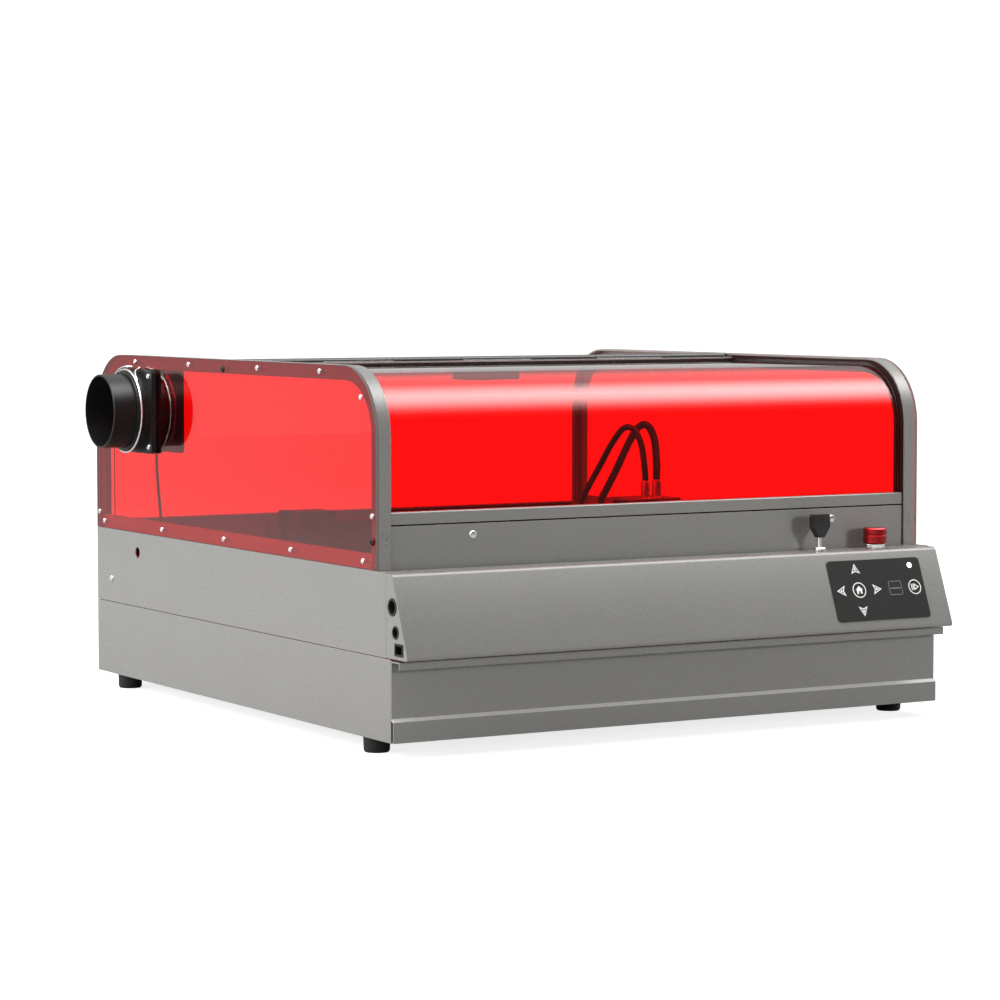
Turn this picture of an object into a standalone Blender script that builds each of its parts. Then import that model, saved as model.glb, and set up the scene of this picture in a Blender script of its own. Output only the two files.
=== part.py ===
"""Desktop laser cutter: a sheet-metal case with a pull-out drawer, a bent acrylic lid and a belt gantry.

Metres, +Z up. +Y runs from the front to the rear and +X to the operator's right. The shapes are written in
a machine frame (X = 0 at the middle of the case, Y = 0 at the front of the base, Z = 0 at the table), and
the empty "machine" carries that frame, so that the world origin is below the middle of the whole object.
"""
import math

import bmesh
import bpy
from mathutils import Matrix, Vector

# ---------------------------------------------------------------- driving dimensions
WIDTH = 0.650
DEPTH = 0.705
HEIGHT = 0.3755
HALF = WIDTH / 2
FOOT_HEIGHT = 0.0155
SEAM_Z = 0.0966
SHOULDER_Z = 0.1790
SHEET = 0.0015
ACRYLIC = 0.003
GAP = 0.0003
ARC_STEPS = 10

# apron, the sloped control console along the front
SLOPE_TOP = (-0.0010, 0.1738)
SLOPE_FOOT = (-0.0290, 0.1030)
NOSE_RADIUS = 0.0030
BROW_RADIUS = 0.0050
APRON_BACK_Y = 0.0328
CHEEK_BACK_Y = 0.0122
PANEL_FRONT_Y = 0.0125

# hoops and windows
HOOP_FRONT_Y = 0.033
HOOP_RADIUS = 0.067
HOOP_INNER_X = 0.3083
HOOP_BAND = 0.002
FLANGE_DEPTH = 0.0145
PANE_X = HALF - ACRYLIC
FLANGE_X = PANE_X - GAP
BETWEEN_HOOPS = HOOP_INNER_X - 0.0008
FASCIA_Y = 0.0360
FASCIA_TOP_Z = 0.2210
SILL_TOP_Z = 0.1945
REAR_SILL_TOP_Z = 0.1875
REAR_LEDGE_DEPTH = 0.015
REAR_SLOTS = 14
REAR_SLOT_PITCH = 0.010
REAR_SLOT_Z = (0.120, 0.160)

# lid
LID_HALF = 0.3073
LID_INSET = 0.0080
REAR_PANE_INSET = 0.0080
LID_RAIL_Z = (0.2225, 0.2345)
LID_RAIL_BACK_Y = 0.3590
LID_WINDOW_END_Y = 0.3500
LID_WINDOW_HALF = 0.3054
LID_STRIP_INSET = 0.0075
LID_STRIP_DEPTH = 0.0080
LID_REAR_RAIL_Z = (0.3635, 0.3715)
HINGE_Y = 0.3625
HINGE_Z = 0.3725
HINGE_RADIUS = 0.0030
HINGE_PIN_RADIUS = 0.0012
CROSSBAR_Y = (0.3660, 0.4040)
CROSSBAR_Z = (0.3620, 0.3750)
CAMERA_CENTRE = (-0.005, 0.375)
CAMERA_SIZE = (0.066, 0.040, 0.0115)
CAMERA_LENS_Y = 0.378
CAMERA_LENS_RADIUS = 0.0075
LENS_DEPTH = 0.001

# exhaust
DUCT_Y = 0.587
DUCT_Z = 0.315
DUCT_END_X = -0.372
PIPE_RADIUS = 0.0405
PIPE_BORE = 0.0387
FLANGE_PLATE = 0.0055
COLLAR_RADIUS = 0.0438
COLLAR_LENGTH = 0.0145
CLAMP_WIRE = 0.0013
CLAMP_ALONG = 0.76
PANE_HOLE_RADIUS = 0.0395
FAN_SIZE = 0.092
FAN_DEPTH = 0.030
FAN_BORE = 0.0425
FAN_BODY_RADIUS = 0.0456
FAN_BLADES = 7
FAN_BLADE_X = 0.016
FAN_HUB_RADIUS = 0.0180
SPIDER_HALF = 0.0025

# gantry
RAIL_X = 0.270
RAIL_Z = (0.130, 0.160)
RAIL_Y = (0.060, 0.690)
GUIDE_HALF = 0.0045
GUIDE_TOP_Z = 0.1648
BEAM_Y = (0.325, 0.345)
BEAM_Z = (0.1741, 0.2041)
BEAM_HALF = 0.285
X_GUIDE_Z = (0.1765, 0.1855)
PULLEY_RADIUS = 0.0060
PULLEY_FLANGE = 0.0080
BELT_THICKNESS = 0.0010
X_PULLEY_X = 0.262
X_PULLEY_Z = 0.1985
X_PULLEY_Y = (0.3170, 0.3240)
Y_PULLEY_X = 0.2480
Y_PULLEY_Z = 0.1480
Y_SHAFT_Y = 0.640
Y_IDLER_Y = 0.095
HEAD_X = 0.148
CARRIAGE_Y = (0.3090, 0.3140)
HEAD_TOP_Z = 0.2205
CABLE_ARM_Z = (0.2075, 0.2115)

# drawer
DRAWER_FACE_Y = 0.0015
DRAWER_TOP_Z = 0.0935
TRAY_HALF = 0.3080
TRAY_Y = (0.0040, 0.6800)
TRAY_Z = (0.0185, 0.0795)
SLIDE_BAR_Z = (0.0440, 0.0560)
RUNNER_X = 0.3120
RUNNER_Z = (0.0415, 0.0585)
RUNNER_Y = (0.012, 0.660)
BED_X = (-0.290, 0.290)
BED_Y = (0.050, 0.640)
BED_Z = (0.0535, 0.0755)
BED_RIM = 0.006
CELL_PITCH = 0.056
CELL_WALL = 0.002

# the controls on the apron's ledge
KEY_X = 0.186
KEY_BARREL_RADIUS = 0.0049
STOP_X = 0.257
STOP_BARREL_RADIUS = 0.0078
KEYPAD_X = 0.2395
KEYPAD_SIZE = (0.1185, 0.0655)
KEYPAD_CORNER = 0.004
KEYPAD_THICKNESS = 0.0008
LEDGE_Z = 0.1785
CONTROL_Y = 0.0150

# sockets in the left cheek: (Y, Z, radius) of the round ones, and the square one's limits
ROUND_PORTS = ((0.0000, 0.1470, 0.0085), (-0.0065, 0.1230, 0.0062))
DATA_PORT_Y = (-0.0215, -0.0050)
DATA_PORT_Z = (0.1010, 0.1125)
PORT_MOUTH = 0.76
PORT_DEPTH = 0.016
PORT_PROUD = 0.0006
PORT_STRIP = ((-0.0200, 0.1020), (0.0100, 0.1020), (0.0100, 0.1550), (-0.0055, 0.1550), (-0.0200, 0.1180))

# routes: the fan's lead, and the two cables that loop from the carriage's rear arm to the head's glands
FAN_LEAD_ROUTE = ((-0.3197, 0.5530, 0.2685), (-0.3195, 0.5527, 0.2520), (-0.3180, 0.5524, 0.2300),
                  (-0.3160, 0.5524, 0.2080), (-0.3140, 0.5528, 0.1860))
FAN_LEAD_RADIUS = 0.0016
GLAND_THIN = (0.1415, 0.2790)
GLAND_THICK = (0.1640, 0.2910)
GLAND_TOP_Z = HEAD_TOP_Z + 0.018
CABLE_GAP = 0.0009
THIN_ROUTE = ((0.0930, 0.3330, 0.2119), (0.0930, 0.3330, 0.2165), (0.1005, 0.3295, 0.2330),
              (0.1110, 0.3225, 0.2560), (0.1200, 0.3150, 0.2780), (0.1290, 0.3070, 0.2945),
              (0.1350, 0.3000, 0.2970), (0.1395, 0.2940, 0.2910), (0.1420, 0.2870, 0.2760),
              (0.1415, 0.2810, 0.2560), (*GLAND_THIN, GLAND_TOP_Z + 0.0050),
              (*GLAND_THIN, GLAND_TOP_Z + CABLE_GAP))
THICK_ROUTE = ((0.1225, 0.3390, 0.2119), (0.1225, 0.3390, 0.2165), (0.1295, 0.3370, 0.2300),
               (0.1390, 0.3335, 0.2500), (0.1480, 0.3290, 0.2720), (0.1560, 0.3240, 0.2900),
               (0.1620, 0.3180, 0.2985), (0.1670, 0.3110, 0.2960), (0.1690, 0.3030, 0.2820),
               (0.1665, 0.2950, 0.2590), (*GLAND_THICK, GLAND_TOP_Z + 0.0060),
               (*GLAND_THICK, GLAND_TOP_Z + CABLE_GAP))
THIN_CABLE_RADIUS = 0.0034
THICK_CABLE_RADIUS = 0.0041

# ---------------------------------------------------------------- finishes: colour, metallic, roughness
FINISHES = {
    "case_paint": ((0.36, 0.36, 0.345), 0.35, 0.42),
    "front_paint": ((0.17, 0.168, 0.158), 0.35, 0.42),
    "dark_paint": ((0.050, 0.049, 0.047), 0.30, 0.45),
    "red_acrylic": ((0.90, 0.010, 0.012), 0.0, 0.08),
    "black_plastic": ((0.016, 0.016, 0.016), 0.0, 0.45),
    "rubber": ((0.020, 0.020, 0.020), 0.0, 0.75),
    "steel": ((0.62, 0.61, 0.59), 1.0, 0.28),
    "red_metal": ((0.55, 0.012, 0.020), 0.7, 0.30),
    "aluminium": ((0.55, 0.55, 0.56), 1.0, 0.35),
    "black_anodised": ((0.035, 0.035, 0.038), 0.8, 0.38),
    "membrane": ((0.040, 0.040, 0.038), 0.0, 0.40),
    "circuit_board": ((0.015, 0.10, 0.045), 0.0, 0.50),
    "brass": ((0.70, 0.48, 0.16), 1.0, 0.30),
}


def clear_scene():
    for thing in list(bpy.data.objects):
        bpy.data.objects.remove(thing, do_unlink=True)


def finish(name):
    """The named finish as a material, made once."""
    if name in bpy.data.materials:
        return bpy.data.materials[name]
    colour, metallic, roughness = FINISHES[name]
    material = bpy.data.materials.new(name)
    material.use_nodes = True
    shader = material.node_tree.nodes["Principled BSDF"]
    shader.inputs["Base Color"].default_value = (*colour, 1.0)
    shader.inputs["Metallic"].default_value = metallic
    shader.inputs["Roughness"].default_value = roughness
    return material


def node(name, bm, finish_name, origin=(0.0, 0.0, 0.0)):
    """Makes one named object from a bmesh in machine coordinates, with its origin at the given point."""
    bmesh.ops.recalc_face_normals(bm, faces=bm.faces)
    bmesh.ops.translate(bm, verts=bm.verts, vec=-Vector(origin))
    mesh = bpy.data.meshes.new(name)
    bm.to_mesh(mesh)
    bm.free()
    mesh.shade_smooth()
    mesh.set_sharp_from_angle(angle=math.radians(32))
    mesh.materials.append(finish(finish_name))
    thing = bpy.data.objects.new(name, mesh)
    thing.location = origin
    thing.parent = bpy.data.objects["machine"]
    bpy.context.scene.collection.objects.link(thing)
    return thing


# ---------------------------------------------------------------- shape helpers
def box(bm, x, y, z):
    """Adds a block between the given limits."""
    size = (x[1] - x[0], y[1] - y[0], z[1] - z[0])
    centre = (sum(x) / 2, sum(y) / 2, sum(z) / 2)
    matrix = Matrix.Translation(centre) @ Matrix.Diagonal((*size, 1.0))
    bmesh.ops.create_cube(bm, size=1.0, matrix=matrix)
    return bm


def new_box(x, y, z):
    return box(bmesh.new(), x, y, z)


def ordered(a, b):
    return (min(a, b), max(a, b))


def mirrored_box(bm, side, x, y, z):
    """Adds a block whose X limits are given on the right and taken to the given side."""
    return box(bm, ordered(side * x[0], side * x[1]), y, z)


AXIS_FRAMES = {
    "x": Matrix(((0, 0, 1, 0), (1, 0, 0, 0), (0, 1, 0, 0), (0, 0, 0, 1))),
    "y": Matrix(((0, 1, 0, 0), (0, 0, 1, 0), (1, 0, 0, 0), (0, 0, 0, 1))),
    "z": Matrix.Identity(4),
}


def lathe(bm, axis, centre, profile, sides=24, closed=False):
    """Turns a profile of (radius, place along the axis) points round an axis through the centre.

    An open profile starts and ends on the axis or is capped flat there. A closed one makes a ring.
    """
    frame = Matrix.Translation(centre) @ AXIS_FRAMES[axis]
    rings = []
    for radius, along in profile:
        ring = []
        for i in range(sides):
            angle = 2 * math.pi * i / sides
            point = Vector((radius * math.cos(angle), radius * math.sin(angle), along))
            ring.append(bm.verts.new(frame @ point))
        rings.append(ring)
    pairs = list(zip(rings, rings[1:]))
    if closed:
        pairs.append((rings[-1], rings[0]))
    else:
        bm.faces.new(rings[0])
        bm.faces.new(rings[-1])
    for low, high in pairs:
        for i in range(sides):
            j = (i + 1) % sides
            bm.faces.new((low[i], low[j], high[j], high[i]))
    return bm


def rod(bm, axis, centre, radius, low, high, sides=24):
    """Adds a plain cylinder along an axis, between two places measured from the centre."""
    return lathe(bm, axis, centre, [(radius, low), (radius, high)], sides)


def ring(bm, axis, centre, inner, outer, low, high, sides=24):
    """Adds a plain tube along an axis."""
    profile = [(inner, low), (outer, low), (outer, high), (inner, high)]
    return lathe(bm, axis, centre, profile, sides, closed=True)


def prism(bm, outline, axis, low, high):
    """Pushes an outline along an axis: (y, z) points along x, (x, z) along y, or (x, y) along z."""
    def place(u, v, w):
        return {"x": (w, u, v), "y": (u, w, v), "z": (u, v, w)}[axis]
    near = [bm.verts.new(place(u, v, low)) for u, v in outline]
    far = [bm.verts.new(place(u, v, high)) for u, v in outline]
    bm.faces.new(near)
    bm.faces.new(far)
    count = len(outline)
    for i in range(count):
        j = (i + 1) % count
        bm.faces.new((near[i], near[j], far[j], far[i]))
    return bm


def loop_prism(bm, outer, inner, axis, low, high):
    """Pushes the band between two closed outlines with the same number of points along an axis."""
    def place(u, v, w):
        return {"x": (w, u, v), "y": (u, w, v), "z": (u, v, w)}[axis]
    loops = [[bm.verts.new(place(u, v, w)) for u, v in outline]
             for outline, w in ((outer, low), (outer, high), (inner, high), (inner, low))]
    for first, second in zip(loops, loops[1:] + loops[:1]):
        for i in range(len(first)):
            j = (i + 1) % len(first)
            bm.faces.new((first[i], first[j], second[j], second[i]))
    return bm


def arc(centre, radius, start, stop, steps=ARC_STEPS):
    """Points on an arc, with angles in degrees."""
    points = []
    for i in range(steps + 1):
        angle = math.radians(start + (stop - start) * i / steps)
        points.append((centre[0] + radius * math.cos(angle), centre[1] + radius * math.sin(angle)))
    return points


def rounded_rectangle(centre, width, height, radius, steps=4):
    u, v = width / 2 - radius, height / 2 - radius
    corners = (((u, v), 0), ((-u, v), 90), ((-u, -v), 180), ((u, -v), 270))
    points = []
    for (du, dv), start in corners:
        points += arc((centre[0] + du, centre[1] + dv), radius, start, start + 90, steps)
    return points


def folded_sheet(path, thickness=SHEET):
    """The outline of a bent sheet: a path, and the same path moved to its right by the thickness."""
    shifted = []
    for i, point in enumerate(path):
        normals = []
        for a, b in ((i - 1, i), (i, i + 1)):
            if a >= 0 and b < len(path):
                du, dv = path[b][0] - path[a][0], path[b][1] - path[a][1]
                length = math.hypot(du, dv)
                normals.append((dv / length, -du / length))
        if len(normals) == 1:
            shift = (normals[0][0] * thickness, normals[0][1] * thickness)
        else:
            (a, b), (c, d) = normals
            scale = thickness / (1 + a * c + b * d)
            shift = ((a + c) * scale, (b + d) * scale)
        shifted.append((point[0] + shift[0], point[1] + shift[1]))
    return list(path) + shifted[::-1]


def combine(body, tool, operation):
    """Joins or cuts two bmeshes with an exact boolean and returns the result as a bmesh."""
    made = []
    for part in (body, tool):
        bmesh.ops.recalc_face_normals(part, faces=part.faces)
        mesh = bpy.data.meshes.new("working")
        part.to_mesh(mesh)
        part.free()
        thing = bpy.data.objects.new("working", mesh)
        bpy.context.scene.collection.objects.link(thing)
        made.append(thing)
    modifier = made[0].modifiers.new("boolean", "BOOLEAN")
    modifier.operation = operation
    modifier.solver = "EXACT"
    modifier.object = made[1]
    graph = bpy.context.evaluated_depsgraph_get()
    result = bmesh.new()
    result.from_mesh(made[0].evaluated_get(graph).to_mesh())
    for thing in made:
        bpy.data.objects.remove(thing, do_unlink=True)
    bmesh.ops.dissolve_degenerate(result, dist=1e-6, edges=result.edges)
    return result


def cut(body, tool):
    return combine(body, tool, "DIFFERENCE")


def join(body, tool):
    return combine(body, tool, "UNION")


# ---------------------------------------------------------------- outlines of the hoops and the bent sheets
def hoop_path(inset, foot_z=SHOULDER_Z + GAP):
    """The hoop's side outline moved inwards: up the front, over both top corners and down the rear."""
    front = (HOOP_FRONT_Y + HOOP_RADIUS, HEIGHT - HOOP_RADIUS)
    rear = (DEPTH - HOOP_RADIUS, HEIGHT - HOOP_RADIUS)
    radius = HOOP_RADIUS - inset
    path = [(HOOP_FRONT_Y + inset, foot_z)]
    path += arc(front, radius, 180, 90)
    path += arc(rear, radius, 90, 0)
    path.append((DEPTH - inset, foot_z))
    return path


def front_sheet(inset, thickness, foot_z, end_y):
    """A sheet that rises from a foot, bends over the front corner and runs back to an end."""
    corner = (HOOP_FRONT_Y + HOOP_RADIUS, HEIGHT - HOOP_RADIUS)
    sides = []
    for depth in (inset, inset + thickness):
        side = [(HOOP_FRONT_Y + depth, foot_z)]
        side += arc(corner, HOOP_RADIUS - depth, 180, 90)
        side.append((end_y, HEIGHT - depth))
        sides.append(side)
    return sides[0] + sides[1][::-1]


def rear_sheet(inset, thickness, foot_z, start_y):
    """A sheet that starts on top, bends over the rear corner and runs down to a foot."""
    corner = (DEPTH - HOOP_RADIUS, HEIGHT - HOOP_RADIUS)
    sides = []
    for depth in (inset, inset + thickness):
        side = [(start_y, HEIGHT - depth)]
        side += arc(corner, HOOP_RADIUS - depth, 90, 0)
        side.append((DEPTH - depth, foot_z))
        sides.append(side)
    return sides[0] + sides[1][::-1]


# ---------------------------------------------------------------- the case
def make_base_shell():
    front_y = DRAWER_FACE_Y + SHEET + GAP
    top_z = SEAM_Z - GAP
    shell = new_box((-HALF, HALF), (front_y, DEPTH), (FOOT_HEIGHT, top_z))
    inside = new_box((-HALF + SHEET, HALF - SHEET), (front_y - 0.01, DEPTH - SHEET),
                     (FOOT_HEIGHT + SHEET, top_z + 0.01))
    node("base_shell", cut(shell, inside), "case_paint")


def make_feet():
    profile = [(0.0118, 0.0), (0.0130, 0.0020), (0.0135, FOOT_HEIGHT - GAP)]
    for row, y in (("front", 0.060), ("rear", 0.650)):
        for end, x in (("left", -0.310), ("right", 0.310)):
            place = (x, y, 0.0)
            node(f"foot_{row}_{end}", lathe(bmesh.new(), "z", place, profile, 20), "rubber", place)


def make_side_panel(side):
    """One upper side: a wall with its bottom and top returns and the upright that holds the pane."""
    bm = bmesh.new()
    mirrored_box(bm, side, (HALF - SHEET, HALF), (PANEL_FRONT_Y, DEPTH), (SEAM_Z + GAP, SHOULDER_Z))
    top = mirrored_box(bmesh.new(), side, (HOOP_INNER_X, HALF), (HOOP_FRONT_Y, DEPTH),
                       (SHOULDER_Z - SHEET, SHOULDER_Z))
    bottom = mirrored_box(bmesh.new(), side, (0.312, HALF), (HOOP_FRONT_Y, DEPTH - SHEET - GAP),
                          (SEAM_Z + GAP, SEAM_Z + GAP + SHEET))
    sill_y = (HOOP_FRONT_Y + FLANGE_DEPTH + GAP, DEPTH - FLANGE_DEPTH - GAP)
    sill = mirrored_box(bmesh.new(), side, (FLANGE_X - SHEET, FLANGE_X), sill_y,
                        (SHOULDER_Z - 0.001, SILL_TOP_Z))
    bm = join(join(join(bm, top), bottom), sill)
    hole = rod(bmesh.new(), "x", (side * HALF, 0.594, 0.157), 0.006, -0.01, 0.01, 20)
    name = "left_side_panel" if side < 0 else "right_side_panel"
    node(name, cut(bm, hole), "case_paint")


def make_rear_panel():
    half = HALF - SHEET - GAP
    panel = new_box((-half, half), (DEPTH - SHEET, DEPTH), (SEAM_Z + GAP, SHOULDER_Z - SHEET - GAP))
    slots = bmesh.new()
    for i in range(REAR_SLOTS):
        x = (i - (REAR_SLOTS - 1) / 2) * REAR_SLOT_PITCH
        box(slots, (x - 0.002, x + 0.002), (DEPTH - 0.01, DEPTH + 0.01), REAR_SLOT_Z)
    sill = new_box((-BETWEEN_HOOPS, BETWEEN_HOOPS), (DEPTH - SHEET, DEPTH), (0.170, REAR_SILL_TOP_Z))
    ledge = new_box((-BETWEEN_HOOPS, BETWEEN_HOOPS), (DEPTH - REAR_LEDGE_DEPTH, DEPTH),
                    (REAR_SILL_TOP_Z - SHEET, REAR_SILL_TOP_Z))
    node("rear_panel", join(join(cut(panel, slots), sill), ledge), "case_paint")


def make_front_fascia():
    """The upright strip between the hoops, folded back at its top and bottom."""
    back = FASCIA_Y + 0.014
    bottom = SEAM_Z + 2 * GAP
    path = [(back, bottom), (FASCIA_Y, bottom), (FASCIA_Y, FASCIA_TOP_Z), (back, FASCIA_TOP_Z)]
    bm = prism(bmesh.new(), folded_sheet(path), "x", -BETWEEN_HOOPS, BETWEEN_HOOPS)
    node("front_fascia", bm, "front_paint")


def slope_angle():
    """The slope's rise from the horizontal."""
    return math.atan2(SLOPE_TOP[1] - SLOPE_FOOT[1], SLOPE_TOP[0] - SLOPE_FOOT[0])


def apron_outline(inset, back_y):
    """The apron's side outline, moved inwards by the inset and left straight at the back."""
    bottom_z = SEAM_Z + 2 * GAP + inset
    top_z = LEDGE_Z - inset
    along = Vector((math.cos(slope_angle()), math.sin(slope_angle())))
    outward = Vector((-along.y, along.x))
    normal = math.degrees(slope_angle()) + 90

    def tangent_centre(radius, level):
        on_line = Vector(SLOPE_FOOT) - outward * (inset + radius)
        return on_line + along * (level - on_line.y) / along.y

    nose_radius = NOSE_RADIUS - inset
    brow_radius = BROW_RADIUS - inset
    nose = tangent_centre(nose_radius, bottom_z + nose_radius)
    brow = tangent_centre(brow_radius, top_z - brow_radius)
    outline = [(back_y, bottom_z)]
    outline += arc(nose, nose_radius, 270, normal, 6)
    outline += arc(brow, brow_radius, normal, 90, 5)
    outline.append((back_y, top_z))
    return outline


def make_control_apron():
    """The sloped console: a folded shell, open at the back, with a cheek at each end."""
    half = HALF - SHEET - GAP
    body = prism(bmesh.new(), apron_outline(0.0, APRON_BACK_Y), "x", -half, half)
    for side in (-1, 1):
        low, high = ordered(side * (half - 0.004), side * HALF)
        cheek = prism(bmesh.new(), apron_outline(0.0, CHEEK_BACK_Y), "x", low, high)
        body = join(body, cheek)
    inner = HALF - 2 * SHEET - GAP
    hollow = prism(bmesh.new(), apron_outline(SHEET, APRON_BACK_Y + 0.01), "x", -inner, inner)
    body = cut(body, hollow)
    holes = bmesh.new()
    for y, z, radius in ROUND_PORTS:
        rod(holes, "x", (-HALF, y, z), radius + GAP, -0.01, 0.01, 24)
    box(holes, (-HALF - 0.01, -HALF + 0.01),
        (DATA_PORT_Y[0] - GAP, DATA_PORT_Y[1] + GAP), (DATA_PORT_Z[0] - GAP, DATA_PORT_Z[1] + GAP))
    rod(holes, "z", (KEY_X, CONTROL_Y, LEDGE_Z), KEY_BARREL_RADIUS + GAP, -0.01, 0.01, 20)
    rod(holes, "z", (STOP_X, CONTROL_Y, LEDGE_Z), STOP_BARREL_RADIUS + GAP, -0.01, 0.01, 20)
    node("control_apron", cut(body, holes), "front_paint")


def make_side_ports():
    """The sockets in the left cheek on their strip: a power inlet, a signal socket and a data socket."""
    out_x = -HALF - PORT_PROUD
    back_x = out_x + PORT_DEPTH
    strip = prism(bmesh.new(), PORT_STRIP, "x", back_x - 0.0016, back_x)
    mouths = bmesh.new()
    for y, z, radius in ROUND_PORTS:
        strip = join(strip, rod(bmesh.new(), "x", (out_x, y, z), radius, 0.0, PORT_DEPTH - 0.001, 24))
        rod(mouths, "x", (out_x, y, z), radius * PORT_MOUTH, -0.01, 0.009, 24)
    strip = join(strip, new_box((out_x, back_x - 0.001), DATA_PORT_Y, DATA_PORT_Z))
    rim = 0.0017
    box(mouths, (out_x - 0.01, out_x + 0.009), (DATA_PORT_Y[0] + rim, DATA_PORT_Y[1] - rim),
        (DATA_PORT_Z[0] + rim, DATA_PORT_Z[1] - rim))
    node("side_ports", cut(strip, mouths), "black_plastic")


def make_keypad():
    """The membrane keypad's plate, lying on the slope."""
    rise = slope_angle()
    outline = rounded_rectangle((0.0, 0.0), *KEYPAD_SIZE, KEYPAD_CORNER)
    bm = prism(bmesh.new(), outline, "z", 0.0, KEYPAD_THICKNESS)
    centre = Vector((KEYPAD_X, (SLOPE_TOP[0] + SLOPE_FOOT[0]) / 2, (SLOPE_TOP[1] + SLOPE_FOOT[1]) / 2))
    outward = Vector((0.0, -math.sin(rise), math.cos(rise)))
    turn = Matrix.Rotation(rise, 4, "X")
    bmesh.ops.transform(bm, matrix=Matrix.Translation(centre + outward * GAP) @ turn, verts=bm.verts)
    node("keypad_overlay", bm, "membrane")


def make_control_board():
    bm = new_box((-0.305, -0.150), (0.0180, 0.0196), (0.104, 0.168))
    for x in (-0.280, -0.240, -0.200):
        bm = join(bm, new_box((x - 0.008, x + 0.008), (0.0130, 0.0185), (0.128, 0.144)))
    node("control_board", bm, "circuit_board")


def make_key_switch():
    """The key switch on the ledge: a flanged barrel in the case, and the key that turns in it."""
    centre = (KEY_X, CONTROL_Y, LEDGE_Z)
    barrel = [(KEY_BARREL_RADIUS, -0.022), (KEY_BARREL_RADIUS, GAP), (0.0068, GAP), (0.0068, 0.0030),
              (0.0058, 0.0042), (0.0034, 0.0042), (0.0034, -0.012)]
    node("key_switch_barrel", lathe(bmesh.new(), "z", centre, barrel, 24), "steel")
    key = lathe(bmesh.new(), "z", centre, [(0.0026, -0.0115), (0.0026, 0.0150)], 16)
    head = [(KEY_X - 0.0032, 0.0142), (KEY_X + 0.0032, 0.0142), (KEY_X + 0.0102, 0.0250),
            (KEY_X + 0.0102, 0.0368), (KEY_X + 0.0088, 0.0384), (KEY_X - 0.0088, 0.0384),
            (KEY_X - 0.0102, 0.0368), (KEY_X - 0.0102, 0.0250)]
    grip = prism(bmesh.new(), [(x, LEDGE_Z + z) for x, z in head], "y", CONTROL_Y - 0.0042, CONTROL_Y + 0.0042)
    node("key", join(key, grip), "black_plastic", centre)


def make_emergency_stop():
    """The emergency stop: a collar in the ledge, the plunger that sinks into it and the cap on top."""
    centre = (STOP_X, CONTROL_Y, LEDGE_Z)
    collar = [(STOP_BARREL_RADIUS, -0.026), (STOP_BARREL_RADIUS, GAP), (0.0100, GAP), (0.0104, 0.0012),
              (0.0104, 0.0048), (0.0098, 0.0056), (0.0074, 0.0056), (0.0074, -0.020)]
    node("estop_collar", lathe(bmesh.new(), "z", centre, collar, 32), "aluminium")
    stem = [(0.0070, -0.0140), (0.0070, 0.0070), (0.0050, 0.0070), (0.0050, 0.0128)]
    node("estop_plunger", lathe(bmesh.new(), "z", centre, stem, 24), "black_plastic", centre)
    cap = [(0.0053, 0.0131), (0.0053, 0.0105), (0.0109, 0.0105), (0.0109, 0.0058), (0.0119, 0.0058),
           (0.0124, 0.0063), (0.0124, 0.0136), (0.0116, 0.0142), (0.0116, 0.0152), (0.0124, 0.0158),
           (0.0124, 0.0208), (0.0112, 0.0220)]
    node("estop_cap", lathe(bmesh.new(), "z", centre, cap, 32), "red_metal", centre)


# ---------------------------------------------------------------- hoops, sills and windows
def make_hoop(side):
    """One bent side frame: an L section swept up the front, over the top and down the rear."""
    section = ((PANE_X - GAP, 0.0), (HOOP_INNER_X, 0.0), (HOOP_INNER_X, HOOP_BAND),
               (FLANGE_X - SHEET, HOOP_BAND), (FLANGE_X - SHEET, FLANGE_DEPTH), (FLANGE_X, FLANGE_DEPTH))
    bm = bmesh.new()
    strands = []
    for x, inset in section:
        strands.append([bm.verts.new((side * x, y, z)) for y, z in hoop_path(inset)])
    for first, second in zip(strands, strands[1:] + strands[:1]):
        for i in range(len(first) - 1):
            bm.faces.new((first[i], first[i + 1], second[i + 1], second[i]))
    bm.faces.new([strand[0] for strand in strands])
    bm.faces.new([strand[-1] for strand in strands])
    node("left_hoop" if side < 0 else "right_hoop", bm, "front_paint")


def make_side_window(side):
    """One flat side pane, as large as its hoop. The left one has the exhaust's hole."""
    outline = hoop_path(0.0, SHOULDER_Z + GAP)
    low, high = ordered(side * PANE_X, side * HALF)
    bm = prism(bmesh.new(), outline, "x", low, high)
    if side < 0:
        bm = cut(bm, rod(bmesh.new(), "x", (-HALF, DUCT_Y, DUCT_Z), PANE_HOLE_RADIUS, -0.01, 0.01, 32))
    node("left_window" if side < 0 else "right_window", bm, "red_acrylic")


def make_rear_window():
    outline = rear_sheet(REAR_PANE_INSET, ACRYLIC, REAR_SILL_TOP_Z + GAP, CROSSBAR_Y[1] + GAP)
    bm = prism(bmesh.new(), outline, "x", -BETWEEN_HOOPS, BETWEEN_HOOPS)
    node("rear_window", bm, "red_acrylic")


def make_top_crossbar():
    """The bar across the top: an inverted channel with the hinge's fixed knuckles on its front edge."""
    (y0, y1), (z0, z1) = CROSSBAR_Y, CROSSBAR_Z
    path = [(y0, z0), (y0, z1), (y1, z1), (y1, z0)]
    bm = prism(bmesh.new(), folded_sheet(path), "x", -BETWEEN_HOOPS, BETWEEN_HOOPS)
    for low, high in hinge_spans(0):
        bm = join(bm, knuckle(low, high, (HINGE_Y + 0.0020, y0 + 0.001), (HINGE_Z - 0.0009, HINGE_Z + 0.0009)))
    node("top_crossbar", bm, "dark_paint")
    pin = rod(bmesh.new(), "x", (0.0, HINGE_Y, HINGE_Z), HINGE_PIN_RADIUS, -0.3015, 0.3015, 10)
    node("hinge_pin", pin, "steel")


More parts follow.
